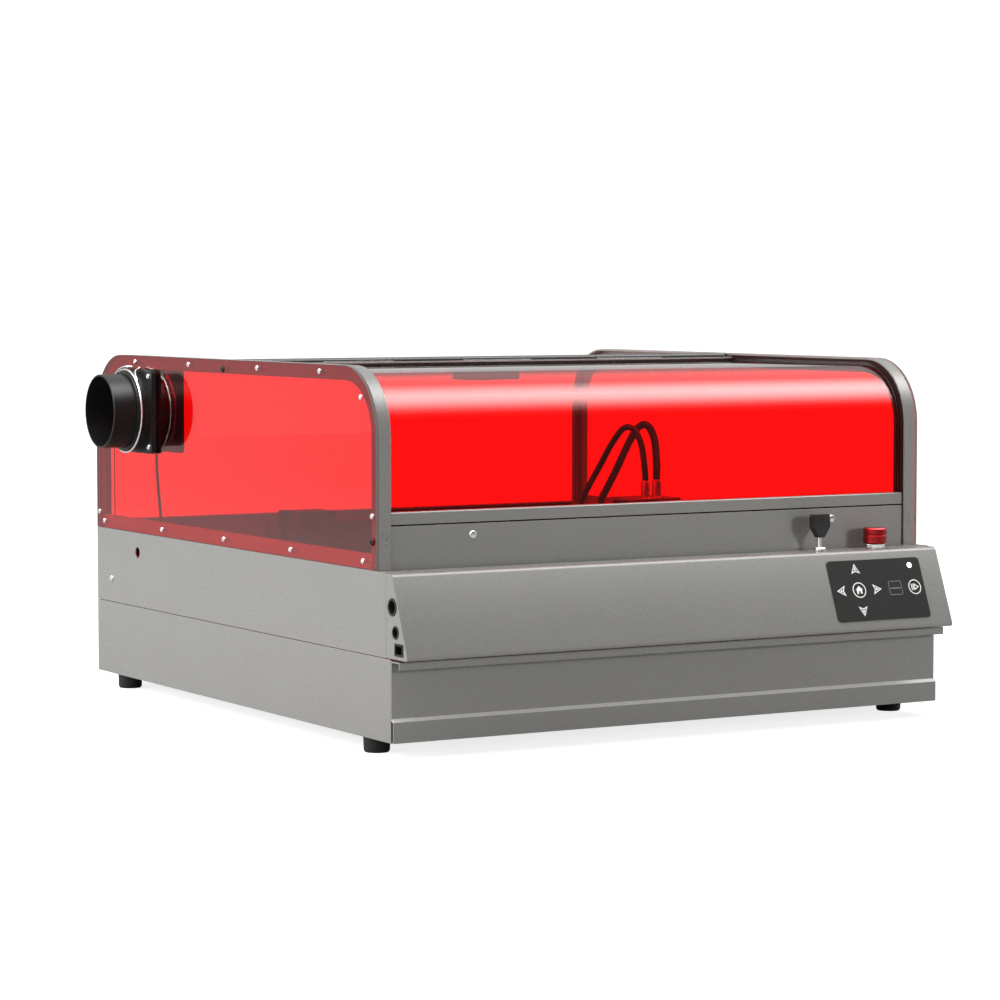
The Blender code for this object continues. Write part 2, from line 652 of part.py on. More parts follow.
def make_camera():
    """The camera pod under the crossbar, with its lens barrel looking down."""
    top = CROSSBAR_Z[0] - GAP
    width, depth, height = CAMERA_SIZE
    outline = rounded_rectangle(CAMERA_CENTRE, width, depth, 0.005)
    bm = prism(bmesh.new(), outline, "z", top - height, top)
    lens_place = (CAMERA_CENTRE[0], CAMERA_LENS_Y, top - height)
    lens = rod(bmesh.new(), "z", lens_place, CAMERA_LENS_RADIUS, -LENS_DEPTH, 0.002, 20)
    node("camera_housing", join(bm, lens), "black_plastic")


def make_lid_sensors():
    """The two small sensors inside the front corners, which tell whether the lid is shut."""
    for side in (-1, 1):
        bm = mirrored_box(bmesh.new(), side, (0.3100, FLANGE_X - SHEET - GAP), (0.0482, 0.0562),
                          (0.2015, 0.2105))
        node("lid_sensor_left" if side < 0 else "lid_sensor_right", bm, "black_plastic")


# ---------------------------------------------------------------- lid
def hinge_spans(part):
    """The X limits of the hinge's knuckles: even spans are fixed and odd ones move with the lid."""
    count, total, gap = 7, 0.600, 0.0005
    length = total / count
    spans = []
    for i in range(count):
        if i % 2 == part:
            left = -total / 2 + i * length
            spans.append((left + gap / 2, left + length - gap / 2))
    return spans


def knuckle(low, high, leaf_y, leaf_z):
    """One hinge knuckle with the short leaf that ties it to its rail."""
    tube = ring(bmesh.new(), "x", (0.0, HINGE_Y, HINGE_Z), HINGE_PIN_RADIUS + GAP, HINGE_RADIUS, low, high, 12)
    return join(tube, new_box((low, high), leaf_y, leaf_z))


def make_lid():
    """The lid: a bent pane in a frame of two rails, two side strips and the hinge's moving knuckles."""
    hinge = (0.0, HINGE_Y, HINGE_Z)
    rail_top = LID_RAIL_Z[1]
    window = front_sheet(LID_INSET, ACRYLIC, rail_top + GAP, LID_WINDOW_END_Y - GAP)
    bm = prism(bmesh.new(), window, "x", -LID_WINDOW_HALF, LID_WINDOW_HALF)
    node("lid_window", bm, "red_acrylic", hinge)

    front = [(FASCIA_Y, LID_RAIL_Z[0]), (FASCIA_Y + 0.012, LID_RAIL_Z[0]), (FASCIA_Y + 0.012, rail_top),
             (FASCIA_Y + 0.001, rail_top), (FASCIA_Y, rail_top - 0.001)]
    frame = prism(bmesh.new(), front, "x", -LID_HALF, LID_HALF)
    side_strip = front_sheet(LID_STRIP_INSET, LID_STRIP_DEPTH, rail_top - 0.002, LID_WINDOW_END_Y + 0.002)
    for side in (-1, 1):
        low, high = ordered(side * (LID_WINDOW_HALF + GAP), side * LID_HALF)
        frame = join(frame, prism(bmesh.new(), side_strip, "x", low, high))
    frame = join(frame, new_box((-LID_HALF, LID_HALF), (LID_WINDOW_END_Y, LID_RAIL_BACK_Y), LID_REAR_RAIL_Z))
    for low, high in hinge_spans(1):
        leaf = knuckle(low, high, (LID_RAIL_BACK_Y - 0.001, HINGE_Y - 0.0018), (0.3702, 0.3724))
        frame = join(frame, leaf)
    node("lid_frame", frame, "front_paint", hinge)


# ---------------------------------------------------------------- exhaust
def make_fan():
    """The exhaust fan inside the left pane: a square frame with a round throat, and its rotor."""
    inner_x = -FLANGE_X + FAN_DEPTH
    centre = (-FLANGE_X, DUCT_Y, DUCT_Z)
    square = rounded_rectangle((DUCT_Y, DUCT_Z), FAN_SIZE, FAN_SIZE, 0.005, 3)
    body = rod(bmesh.new(), "x", centre, FAN_BODY_RADIUS, 0.002, FAN_DEPTH - 0.002, 32)
    body = join(body, prism(bmesh.new(), square, "x", -FLANGE_X, -FLANGE_X + 0.004))
    body = join(body, prism(bmesh.new(), square, "x", inner_x - 0.004, inner_x))
    body = cut(body, rod(bmesh.new(), "x", centre, FAN_BORE, -0.01, FAN_DEPTH + 0.01, 32))
    spider = rod(bmesh.new(), "x", centre, 0.0185, FAN_DEPTH - 0.003, FAN_DEPTH, 20)
    bars = bmesh.new()
    box(bars, (inner_x - 0.003, inner_x), (DUCT_Y - FAN_BORE - 0.001, DUCT_Y + FAN_BORE + 0.001),
        (DUCT_Z - SPIDER_HALF, DUCT_Z + SPIDER_HALF))
    upright = new_box((inner_x - 0.003, inner_x), (DUCT_Y - SPIDER_HALF, DUCT_Y + SPIDER_HALF),
                      (DUCT_Z - FAN_BORE - 0.001, DUCT_Z + FAN_BORE + 0.001))
    spider = join(join(spider, bars), upright)
    node("fan_frame", join(body, spider), "black_plastic")
    make_fan_rotor(centre)


def make_fan_rotor(centre):
    hub = rod(bmesh.new(), "x", centre, FAN_HUB_RADIUS, 0.006, FAN_DEPTH - 0.004, 24)
    for i in range(FAN_BLADES):
        turn = Matrix.Rotation(2 * math.pi * i / FAN_BLADES, 4, "X")
        pitch = Matrix.Rotation(math.radians(38), 4, "Z")
        blade = bmesh.new()
        box(blade, (-0.0009, 0.0009), (-0.0110, 0.0110), (0.0165, 0.0405))
        place = Matrix.Translation(Vector(centre) + Vector((FAN_BLADE_X, 0, 0))) @ turn @ pitch
        bmesh.ops.transform(blade, matrix=place, verts=blade.verts)
        hub = join(hub, blade)
    node("fan_rotor", hub, "black_plastic", centre)


def make_duct():
    """Outside the left pane: the square flange with its collar, the pipe in it and the wire clamp."""
    square = rounded_rectangle((DUCT_Y, DUCT_Z), FAN_SIZE, FAN_SIZE, 0.006, 4)
    plate_x = -HALF - GAP
    centre = (plate_x, DUCT_Y, DUCT_Z)
    flange = prism(bmesh.new(), square, "x", plate_x - FLANGE_PLATE, plate_x)
    collar_end = FLANGE_PLATE + COLLAR_LENGTH
    flange = join(flange, rod(bmesh.new(), "x", centre, COLLAR_RADIUS, -collar_end, -0.001, 40))
    flange = cut(flange, rod(bmesh.new(), "x", centre, PIPE_BORE - 0.0002, -0.030, 0.010, 40))
    seat = rod(bmesh.new(), "x", centre, PIPE_RADIUS + GAP, -0.030, -FLANGE_PLATE, 40)
    node("duct_flange", cut(flange, seat), "black_plastic")

    pipe = bmesh.new()
    start = plate_x - FLANGE_PLATE - GAP
    profile = [(PIPE_BORE, DUCT_END_X), (PIPE_RADIUS - 0.0006, DUCT_END_X), (PIPE_RADIUS, DUCT_END_X + 0.0006),
               (PIPE_RADIUS, start), (PIPE_BORE, start)]
    lathe(pipe, "x", (0.0, DUCT_Y, DUCT_Z), profile, 40, closed=True)
    node("duct_pipe", pipe, "rubber")

    clamp = bmesh.new()
    ring_radius = COLLAR_RADIUS + GAP + CLAMP_WIRE
    clamp_x = plate_x - FLANGE_PLATE - CLAMP_ALONG * COLLAR_LENGTH
    profile = [(ring_radius + CLAMP_WIRE * math.cos(a), CLAMP_WIRE * math.sin(a))
               for a in (math.radians(60 * k) for k in range(6))]
    lathe(clamp, "x", (clamp_x, DUCT_Y, DUCT_Z), profile, 36, closed=True)
    node("hose_clamp", clamp, "steel")


def smooth_route(points, per_span):
    """Catmull-Rom points through a route's own points."""
    points = [Vector(p) for p in points]
    padded = [2 * points[0] - points[1]] + points + [2 * points[-1] - points[-2]]
    route = []
    for i in range(1, len(padded) - 2):
        a, b, c, d = padded[i - 1:i + 3]
        for k in range(per_span):
            t = k / per_span
            route.append(0.5 * (2 * b + (c - a) * t + (2 * a - 5 * b + 4 * c - d) * t * t
                                + (3 * b - a - 3 * c + d) * t ** 3))
    route.append(points[-1])
    return route


def cable(name, points, radius, per_span, resolution=2):
    """A round cable on a smooth curve through its route's points, straight in its first and last spans."""
    curve = bpy.data.curves.new(name, "CURVE")
    curve.dimensions = "3D"
    curve.bevel_depth = radius
    curve.bevel_resolution = resolution
    curve.use_fill_caps = True
    spline = curve.splines.new("POLY")
    route = [points[0], *smooth_route(points[1:-1], per_span), points[-1]]
    spline.points.add(len(route) - 1)
    for place, point in zip(spline.points, route):
        place.co = (*point, 1.0)
    curve.materials.append(finish("rubber"))
    thing = bpy.data.objects.new(name, curve)
    thing.parent = bpy.data.objects["machine"]
    bpy.context.scene.collection.objects.link(thing)


# ---------------------------------------------------------------- drawer
def make_drawer():
    """The drawer: a folded front with its pull lip, and the tray with its slide bars and bed ledges."""
    path = [(-0.0022, FOOT_HEIGHT + GAP), (-0.0022, 0.0362), (DRAWER_FACE_Y, 0.0390),
            (DRAWER_FACE_Y, DRAWER_TOP_Z), (-0.0130, DRAWER_TOP_Z), (-0.0130, 0.0875)]
    bm = prism(bmesh.new(), folded_sheet(path), "x", -HALF, HALF)
    node("drawer_front", bm, "front_paint")

    tray = new_box((-TRAY_HALF, TRAY_HALF), TRAY_Y, TRAY_Z)
    inside = new_box((-TRAY_HALF + SHEET, TRAY_HALF - SHEET), (TRAY_Y[0] + SHEET, TRAY_Y[1] - SHEET),
                     (TRAY_Z[0] + SHEET, TRAY_Z[1] + 0.01))
    tray = cut(tray, inside)
    ledge_top = BED_Z[0] - GAP
    for side in (-1, 1):
        tray = join(tray, mirrored_box(bmesh.new(), side, (TRAY_HALF - 0.001, 0.3180), (0.010, 0.560),
                                       SLIDE_BAR_Z))
        tray = join(tray, mirrored_box(bmesh.new(), side, (0.2840, TRAY_HALF - 0.0005), (0.048, 0.642),
                                       (ledge_top - SHEET, ledge_top)))
    node("drawer_tray", tray, "case_paint")


def clipped(outline, axis, limit, keep):
    """The part of a convex outline on one side of a line across an axis: above for a keep of 1, below for -1."""
    result = []
    for start, stop in zip(outline, outline[1:] + outline[:1]):
        a, b = keep * (start[axis] - limit), keep * (stop[axis] - limit)
        if a >= 0:
            result.append(start)
        if a * b < 0:
            t = a / (a - b)
            result.append((start[0] + t * (stop[0] - start[0]), start[1] + t * (stop[1] - start[1])))
    return result


def area(outline):
    pairs = zip(outline, outline[1:] + outline[:1])
    return abs(sum(a[0] * b[1] - b[0] * a[1] for a, b in pairs)) / 2


def make_honeycomb_bed():
    """The bed: a rim round a core of open hexagonal cells, each many times the size of a real core's."""
    bed = new_box(BED_X, BED_Y, BED_Z)
    inside = ((BED_X[0] + BED_RIM, BED_X[1] - BED_RIM), (BED_Y[0] + BED_RIM, BED_Y[1] - BED_RIM))
    radius = (CELL_PITCH - CELL_WALL) / math.sqrt(3)
    row_pitch = CELL_PITCH * math.sqrt(3) / 2
    middle_y = sum(BED_Y) / 2
    cells = bmesh.new()
    for row in range(-7, 8):
        for column in range(-7, 8):
            x = (column + (row % 2) / 2) * CELL_PITCH
            cell = [(x + radius * math.cos(a), middle_y + row * row_pitch + radius * math.sin(a))
                    for a in (math.radians(30 + 60 * k) for k in range(6))]
            whole = area(cell)
            for axis in (0, 1):
                for limit, keep in zip(inside[axis], (1, -1)):
                    cell = clipped(cell, axis, limit, keep)
            if len(cell) > 2 and area(cell) > 0.15 * whole:
                prism(cells, cell, "z", BED_Z[0] - 0.01, BED_Z[1] + 0.01)
    node("honeycomb_bed", cut(bed, cells), "aluminium")


def make_drawer_runner(side):
    """The fixed half of one drawer runner: a channel on the base's wall, open inwards."""
    inner, outer = side * RUNNER_X, side * (HALF - SHEET - GAP)
    path = [(inner, RUNNER_Z[0]), (outer, RUNNER_Z[0]), (outer, RUNNER_Z[1]), (inner, RUNNER_Z[1])]
    thickness = 0.0012 * (1 if side < 0 else -1)
    bm = prism(bmesh.new(), folded_sheet(path, thickness), "y", *RUNNER_Y)
    node("drawer_runner_left" if side < 0 else "drawer_runner_right", bm, "steel")


# ---------------------------------------------------------------- motion system
def make_motion_frame():
    """Four extrusions with the Y guides on the side ones, brackets to the case and the front idlers' pins."""
    half = 0.010
    inner = RAIL_X - half + 0.001
    bm = new_box((-inner, inner), (RAIL_Y[0], RAIL_Y[0] + 0.020), (0.130, 0.150))
    bm = join(bm, new_box((-inner, inner), (RAIL_Y[1] - 0.020, RAIL_Y[1]), (0.130, 0.150)))
    for side in (-1, 1):
        bm = join(bm, mirrored_box(bmesh.new(), side, (RAIL_X - half, RAIL_X + half), RAIL_Y, RAIL_Z))
        bm = join(bm, mirrored_box(bmesh.new(), side, (RAIL_X - GUIDE_HALF, RAIL_X + GUIDE_HALF),
                                   (0.066, 0.684), (RAIL_Z[1] - 0.001, GUIDE_TOP_Z)))
        for y in (0.110, 0.620):
            bm = join(bm, mirrored_box(bmesh.new(), side, (RAIL_X + half - 0.001, HALF - SHEET - GAP),
                                       (y - 0.020, y + 0.020), (0.138, 0.150)))
        low, high = ordered(side * 0.2440, side * (RAIL_X - half + 0.001))
        bm = join(bm, rod(bmesh.new(), "x", (0.0, Y_IDLER_Y, Y_PULLEY_Z), 0.0020, low, high, 12))
    node("motion_frame", bm, "black_anodised")


def pulley_profile(width, bore):
    """A flanged belt pulley with a bore, as a closed profile centred on its width."""
    w = width / 2
    return [(bore, -w), (PULLEY_FLANGE, -w), (PULLEY_FLANGE, -w + 0.0009), (PULLEY_RADIUS, -w + 0.0009),
            (PULLEY_RADIUS, w - 0.0009), (PULLEY_FLANGE, w - 0.0009), (PULLEY_FLANGE, w), (bore, w)]


def make_y_drive():
    """The rear cross shaft with its two pulleys, the motor round it, the front idlers and both belts."""
    centre = (0.0, Y_SHAFT_Y, Y_PULLEY_Z)
    w = 0.0035
    profile = [(0.0025, -0.2590)]
    for x in (-Y_PULLEY_X, Y_PULLEY_X):
        profile += [(0.0025, x - w), (PULLEY_FLANGE, x - w), (PULLEY_FLANGE, x - w + 0.0009),
                    (PULLEY_RADIUS, x - w + 0.0009), (PULLEY_RADIUS, x + w - 0.0009),
                    (PULLEY_FLANGE, x + w - 0.0009), (PULLEY_FLANGE, x + w), (0.0025, x + w)]
    profile.append((0.0025, 0.2590))
    node("y_drive_shaft", lathe(bmesh.new(), "x", centre, profile, 16), "steel", centre)

    motor = new_box((-0.120, -0.082), (Y_SHAFT_Y - 0.021, Y_SHAFT_Y + 0.021),
                    (Y_PULLEY_Z - 0.021, Y_PULLEY_Z + 0.021))
    motor = cut(motor, rod(bmesh.new(), "x", centre, 0.0035, -0.2, 0.2, 16))
    node("y_motor", motor, "black_anodised")

    for side, end in ((-1, "left"), (1, "right")):
        x = side * Y_PULLEY_X
        place = (x, Y_IDLER_Y, Y_PULLEY_Z)
        idler = lathe(bmesh.new(), "x", place, pulley_profile(2 * w, 0.0023), 20, closed=True)
        node(f"y_idler_{end}", idler, "steel", place)
        outlines = [belt_outline(Y_IDLER_Y, Y_SHAFT_Y, Y_PULLEY_Z, radius)
                    for radius in (PULLEY_RADIUS + GAP + BELT_THICKNESS, PULLEY_RADIUS + GAP)]
        belt = loop_prism(bmesh.new(), *outlines, "x", x - 0.0022, x + 0.0022)
        node(f"y_belt_{end}", belt, "rubber")


def belt_outline(start, stop, level, radius):
    """A belt's outline round two pulleys of one size."""
    return arc((stop, level), radius, -90, 90, 8) + arc((start, level), radius, 90, 270, 8)


def make_gantry():
    """The moving bridge: beam with the X guide, end plates on their guide blocks, X motor and belt."""
    beam = new_box((-BEAM_HALF, BEAM_HALF), BEAM_Y, BEAM_Z)
    beam = join(beam, new_box((-0.250, 0.250), (0.3202, BEAM_Y[0] + 0.001), X_GUIDE_Z))
    pin = rod(bmesh.new(), "y", (X_PULLEY_X, 0.0, X_PULLEY_Z), 0.0020, 0.3145, BEAM_Y[0] + 0.001, 12)
    node("gantry_beam", join(beam, pin), "black_anodised")

    for side, end in ((-1, "left"), (1, "right")):
        plate = mirrored_box(bmesh.new(), side, (0.2500, 0.2920), (BEAM_Y[0], 0.3750),
                             (0.1700, BEAM_Z[0] - GAP))
        block = mirrored_box(bmesh.new(), side, (0.2600, 0.2800), (0.3300, 0.3700), (0.1620, 0.1710))
        clamp = mirrored_box(bmesh.new(), side, (0.2440, 0.2530), (0.3300, 0.3480), (0.1505, 0.1710))
        plate = join(join(plate, block), clamp)
        slots = mirrored_box(bmesh.new(), side, (RAIL_X - GUIDE_HALF - GAP, RAIL_X + GUIDE_HALF + GAP),
                             (0.3200, 0.3800), (0.1600, GUIDE_TOP_Z + GAP))
        belt_top = Y_PULLEY_Z + PULLEY_RADIUS + 2 * GAP + BELT_THICKNESS
        mirrored_box(slots, side, (0.2450, 0.2590), (0.3200, 0.3600),
                     (belt_top - BELT_THICKNESS - 2 * GAP, belt_top))
        node(f"gantry_plate_{end}", cut(plate, slots), "aluminium")

    bracket = new_box((-0.2885, -0.2390), (0.3143, 0.3163), (0.1745, 0.2195))
    bracket = join(bracket, new_box((-0.2885, -0.2855), (0.3143, BEAM_Y[1]), (0.1745, 0.2060)))
    bracket = cut(bracket, rod(bmesh.new(), "y", (-X_PULLEY_X, 0.0, X_PULLEY_Z), 0.0090, 0.30, 0.33, 20))
    motor = new_box((-X_PULLEY_X - 0.021, -X_PULLEY_X + 0.021), (0.2800, 0.3150),
                    (X_PULLEY_Z - 0.021, X_PULLEY_Z + 0.021))
    motor = cut(motor, rod(bmesh.new(), "y", (-X_PULLEY_X, 0.0, X_PULLEY_Z), 0.0090, 0.3130, 0.33, 20))
    node("x_motor", join(bracket, motor), "black_anodised")

    middle = sum(X_PULLEY_Y) / 2
    shaft = [(0.0025, 0.3143), (0.0025, X_PULLEY_Y[0])]
    shaft += [(radius, middle + along) for radius, along in pulley_profile(0.0070, 0.0025)]
    centre = (-X_PULLEY_X, 0.0, X_PULLEY_Z)
    node("x_pulley", lathe(bmesh.new(), "y", centre, shaft, 20), "steel", (-X_PULLEY_X, middle, X_PULLEY_Z))
    idler = [(radius, middle + along) for radius, along in pulley_profile(0.0070, 0.0023)]
    centre = (X_PULLEY_X, 0.0, X_PULLEY_Z)
    node("x_idler", lathe(bmesh.new(), "y", centre, idler, 20, closed=True), "steel",
         (X_PULLEY_X, middle, X_PULLEY_Z))

    outlines = [belt_outline(-X_PULLEY_X, X_PULLEY_X, X_PULLEY_Z, radius)
                for radius in (PULLEY_RADIUS + GAP + BELT_THICKNESS, PULLEY_RADIUS + GAP)]
    node("x_belt", loop_prism(bmesh.new(), *outlines, "y", middle - 0.0022, middle + 0.0022), "rubber")


def make_carriage():
    """The carriage: plate with its shelf, cable glands and cable arm, guide block, clamp and focus rail."""
    half = 0.030
    plate = new_box((HEAD_X - half, HEAD_X + half), CARRIAGE_Y, (0.1400, HEAD_TOP_Z))
    shelf = new_box((HEAD_X - half, HEAD_X + half), (0.2640, CARRIAGE_Y[1]), (HEAD_TOP_Z - 0.003, HEAD_TOP_Z))
    rail = new_box((HEAD_X - 0.010, HEAD_X + 0.010), (0.3055, CARRIAGE_Y[0] + 0.001), (0.1450, 0.2050))
    arm = new_box((0.0850, 0.1500), (CARRIAGE_Y[1] - 0.001, 0.3470), CABLE_ARM_Z)
    plate = join(join(join(plate, shelf), rail), arm)
    block = new_box((HEAD_X - 0.022, HEAD_X + 0.022), (CARRIAGE_Y[1] - 0.001, 0.3240), (0.1735, 0.1884))
    channel = new_box((HEAD_X - 0.030, HEAD_X + 0.030), (0.3199, 0.3300),
                      (X_GUIDE_Z[0] - GAP, X_GUIDE_Z[1] + GAP))
    plate = join(plate, cut(block, channel))
    clamp = new_box((HEAD_X - 0.008, HEAD_X + 0.008), (CARRIAGE_Y[1] - 0.001, 0.3235), (0.1887, 0.1955))
    run_top = X_PULLEY_Z - PULLEY_RADIUS
    slot = new_box((HEAD_X - 0.020, HEAD_X + 0.020), (0.3178, 0.3300),
                   (run_top - BELT_THICKNESS - 2 * GAP, run_top))
    plate = join(plate, cut(clamp, slot))
    for (x, y), radius in ((GLAND_THIN, 0.0048), (GLAND_THICK, 0.0052)):
        profile = [(radius, HEAD_TOP_Z - 0.001), (radius, HEAD_TOP_Z + 0.014), (radius * 0.86, GLAND_TOP_Z)]
        plate = join(plate, lathe(bmesh.new(), "z", (x, y, 0.0), profile, 16))
    node("carriage_plate", plate, "aluminium")


def make_laser():
    """The laser module on its focus rail: a finned housing and the air-assist nozzle below it."""
    x0, x1 = HEAD_X - 0.028, HEAD_X + 0.028
    housing = new_box((x0, x1), (0.2520, 0.3084), (0.1120, 0.2100))
    groove = new_box((HEAD_X - 0.010 - GAP, HEAD_X + 0.010 + GAP), (0.3052, 0.3150), (0.1000, 0.2200))
    housing = cut(housing, groove)
    fins = bmesh.new()
    for k in range(5):
        z = 0.150 + 0.009 * k
        for side in (-1, 1):
            mid = HEAD_X + side * 0.028
            box(fins, (mid - 0.0025, mid + 0.0025), (0.2500, 0.3000), (z - 0.002, z + 0.002))
    node("laser_housing", cut(housing, fins), "black_anodised")
    profile = [(0.0130, 0.1120 - GAP), (0.0130, 0.1050), (0.0060, 0.0970), (0.0045, 0.0950),
               (0.0025, 0.0950), (0.0025, 0.1080)]
    node("laser_nozzle", lathe(bmesh.new(), "z", (HEAD_X, 0.2800, 0.0), profile, 24), "brass")


def main():
    clear_scene()
    nose_y = min(y for y, z in apron_outline(0.0, APRON_BACK_Y))
    machine = bpy.data.objects.new("machine", None)
    machine.location = (-(DUCT_END_X + HALF) / 2, -(nose_y + DEPTH) / 2, 0.0)
    bpy.context.scene.collection.objects.link(machine)

    make_base_shell()
    make_feet()
    for side in (-1, 1):
        make_side_panel(side)
        make_hoop(side)
        make_side_window(side)
        make_drawer_runner(side)
    make_rear_panel()
    make_front_fascia()
    make_control_apron()
    make_side_ports()
    make_keypad()
    make_control_board()
    make_key_switch()
    make_emergency_stop()
    make_rear_window()
    make_top_crossbar()
    make_camera()
    make_lid_sensors()
    make_lid()
    make_fan()
    make_duct()
    cable("fan_lead", FAN_LEAD_ROUTE, FAN_LEAD_RADIUS, 5)
    make_drawer()
    make_honeycomb_bed()
    make_motion_frame()
    make_y_drive()
    make_gantry()
    make_carriage()
    cable("head_cable_thin", THIN_ROUTE, THIN_CABLE_RADIUS, 3)
    cable("head_cable_thick", THICK_ROUTE, THICK_CABLE_RADIUS, 3)
    make_laser()


main()
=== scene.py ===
"""The looks of the desktop laser cutter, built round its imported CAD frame."""
import math

import bmesh
import bpy
from mathutils import Matrix, Vector


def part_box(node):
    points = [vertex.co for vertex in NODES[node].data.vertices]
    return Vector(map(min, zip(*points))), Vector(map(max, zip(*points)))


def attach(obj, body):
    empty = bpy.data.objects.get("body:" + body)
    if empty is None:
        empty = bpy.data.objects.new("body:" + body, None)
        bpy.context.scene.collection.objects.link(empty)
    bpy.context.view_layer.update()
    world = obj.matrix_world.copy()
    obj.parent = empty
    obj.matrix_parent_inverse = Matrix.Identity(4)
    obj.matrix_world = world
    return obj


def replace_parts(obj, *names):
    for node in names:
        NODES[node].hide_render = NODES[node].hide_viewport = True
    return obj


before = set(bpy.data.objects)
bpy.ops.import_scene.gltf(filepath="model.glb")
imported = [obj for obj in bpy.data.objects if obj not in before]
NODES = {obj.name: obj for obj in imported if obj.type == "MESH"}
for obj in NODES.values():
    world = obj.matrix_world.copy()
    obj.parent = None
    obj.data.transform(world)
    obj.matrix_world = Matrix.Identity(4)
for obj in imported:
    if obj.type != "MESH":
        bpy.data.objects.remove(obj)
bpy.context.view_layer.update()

# ---------------------------------------------------------------- the machine frame
# X = 0 at the middle of the case, Y = 0 at the front of the base, Z = 0 on the table. Metres.
DEPTH = 0.705
HEIGHT = 0.3755
HOOP_FRONT_Y = 0.033
HOOP_RADIUS = 0.067
BASE_LOW, BASE_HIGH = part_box("base_shell")
HALF = (BASE_HIGH.x - BASE_LOW.x) / 2
ORIGIN = Vector(((BASE_LOW.x + BASE_HIGH.x) / 2, BASE_HIGH.y - DEPTH, 0.0))
IDENTITY = Matrix.Identity(4)


def at(x, y, z):
    """A point given in the machine frame, in the row frame."""
    return ORIGIN + Vector((x, y, z))


# ---------------------------------------------------------------- camera
LENS_MM = 118.08
SENSOR_MM = 36.0
CAMERA_CLIP_END = 60.0
CAMERA_PLACE = (-1.807, -2.742, 0.4565)
AZIMUTH = math.radians(-30.28)
ELEVATION = math.radians(3.80)

camera_data = bpy.data.cameras.new("camera")
camera_data.sensor_width = SENSOR_MM
camera_data.lens = LENS_MM
camera_data.clip_end = CAMERA_CLIP_END
camera = bpy.data.objects.new("camera", camera_data)
bpy.context.scene.collection.objects.link(camera)
back = Vector((math.sin(AZIMUTH) * math.cos(ELEVATION), -math.cos(AZIMUTH) * math.cos(ELEVATION),
               math.sin(ELEVATION)))
camera.location = at(*CAMERA_PLACE)
camera.rotation_euler = (-back).to_track_quat("-Z", "Y").to_euler()
bpy.context.scene.camera = camera


# ---------------------------------------------------------------- node helpers
def greys(*stops):
    """Ramp stops with a grey level each."""
    return [(place, (level,) * 3) for place, level in stops]


def shade(colour, factor):
    return tuple(c * factor for c in colour)


class NodeTree:
    """Adds and links nodes in one node tree."""

    def __init__(self, tree):
        self.tree = tree

    def node(self, kind):
        return self.tree.nodes.new("ShaderNode" + kind)

    def link(self, source, target):
        self.tree.links.new(source, target)

    def feed(self, target, value):
        """Links a socket to an input, or sets the input to a number or a colour."""
        if isinstance(value, bpy.types.NodeSocket):
            self.link(value, target)
        else:
            target.default_value = (*value, 1.0) if isinstance(value, tuple) else value

    def math(self, operation, *values):
        node = self.node("Math")
        node.operation = operation
        for target, value in zip(node.inputs, values):
            self.feed(target, value)
        return node.outputs[0]

    def more(self, value, limit):
        return self.math("GREATER_THAN", value, limit)

    def less(self, value, limit):
        return self.math("LESS_THAN", value, limit)

    def times(self, first, second):
        return self.math("MULTIPLY", first, second)

    def coords(self, kind="Object"):
        return self.node("TexCoord").outputs[kind]

    def split(self, vector):
        node = self.node("SeparateXYZ")
        self.link(vector, node.inputs[0])
        return node.outputs

    def place(self):
        """The object coordinates X, Y and Z, as three sockets."""
        return self.split(self.coords())

    def noise(self, scale, detail=3.0, stretch=None, roughness=0.5):
        node = self.node("TexNoise")
        node.inputs["Scale"].default_value = scale
        node.inputs["Detail"].default_value = detail
        node.inputs["Roughness"].default_value = roughness
        source = self.coords()
        if stretch is not None:
            mapping = self.node("Mapping")
            mapping.inputs["Scale"].default_value = stretch
            self.link(source, mapping.inputs["Vector"])
            source = mapping.outputs["Vector"]
        self.link(source, node.inputs["Vector"])
        return node.outputs["Fac"]

    def ramp(self, fac, stops):
        node = self.node("ValToRGB")
        elements = node.color_ramp.elements
        while len(elements) < len(stops):
            elements.new(0.5)
        for element, (place, colour) in zip(elements, stops):
            element.position = place
            element.color = (*colour, 1.0)
        self.link(fac, node.inputs["Fac"])
        return node.outputs["Color"]

    def blend(self, fac, first, second, mode="MIX"):
        """Mixes two colours, each a socket or plain values."""
        node = self.node("Mix")
        node.data_type = "RGBA"
        node.blend_type = mode
        for index, value in ((0, fac), (6, first), (7, second)):
            self.feed(node.inputs[index], value)
        return node.outputs[2]

    def bump(self, height, strength, distance, normal=None):
        node = self.node("Bump")
        node.inputs["Strength"].default_value = strength
        node.inputs["Distance"].default_value = distance
        self.link(height, node.inputs["Height"])
        if normal is not None:
            self.link(normal, node.inputs["Normal"])
        return node.outputs["Normal"]

    def rounded_edges(self, radius):
        node = self.node("Bevel")
        node.samples = 4
        node.inputs["Radius"].default_value = radius
        return node.outputs["Normal"]


class Shader(NodeTree):
    """A new material, with its Principled surface and its output."""

    def __init__(self, name):
        self.material = bpy.data.materials.new(name)
        self.material.use_nodes = True
        super().__init__(self.material.node_tree)
        self.surface = self.tree.nodes["Principled BSDF"]
        self.output = self.tree.nodes["Material Output"]

    def set(self, **values):
        for key, value in values.items():
            self.surface.inputs[key.replace("_", " ")].default_value = value

    def colour(self, socket):
        self.link(socket, self.surface.inputs["Base Color"])

    def roughness(self, socket):
        self.link(socket, self.surface.inputs["Roughness"])

    def normal(self, socket):
        self.link(socket, self.surface.inputs["Normal"])

    def grey_ramp(self, fac, low, high):
        return self.ramp(fac, greys((0.3, low), (0.7, high)))

    def toned(self, fac, colour, low, high, span=(0.3, 0.7)):
        """The colour, from a darker to a lighter tone of it."""
        return self.ramp(fac, [(span[0], shade(colour, low)), (span[1], shade(colour, high))])


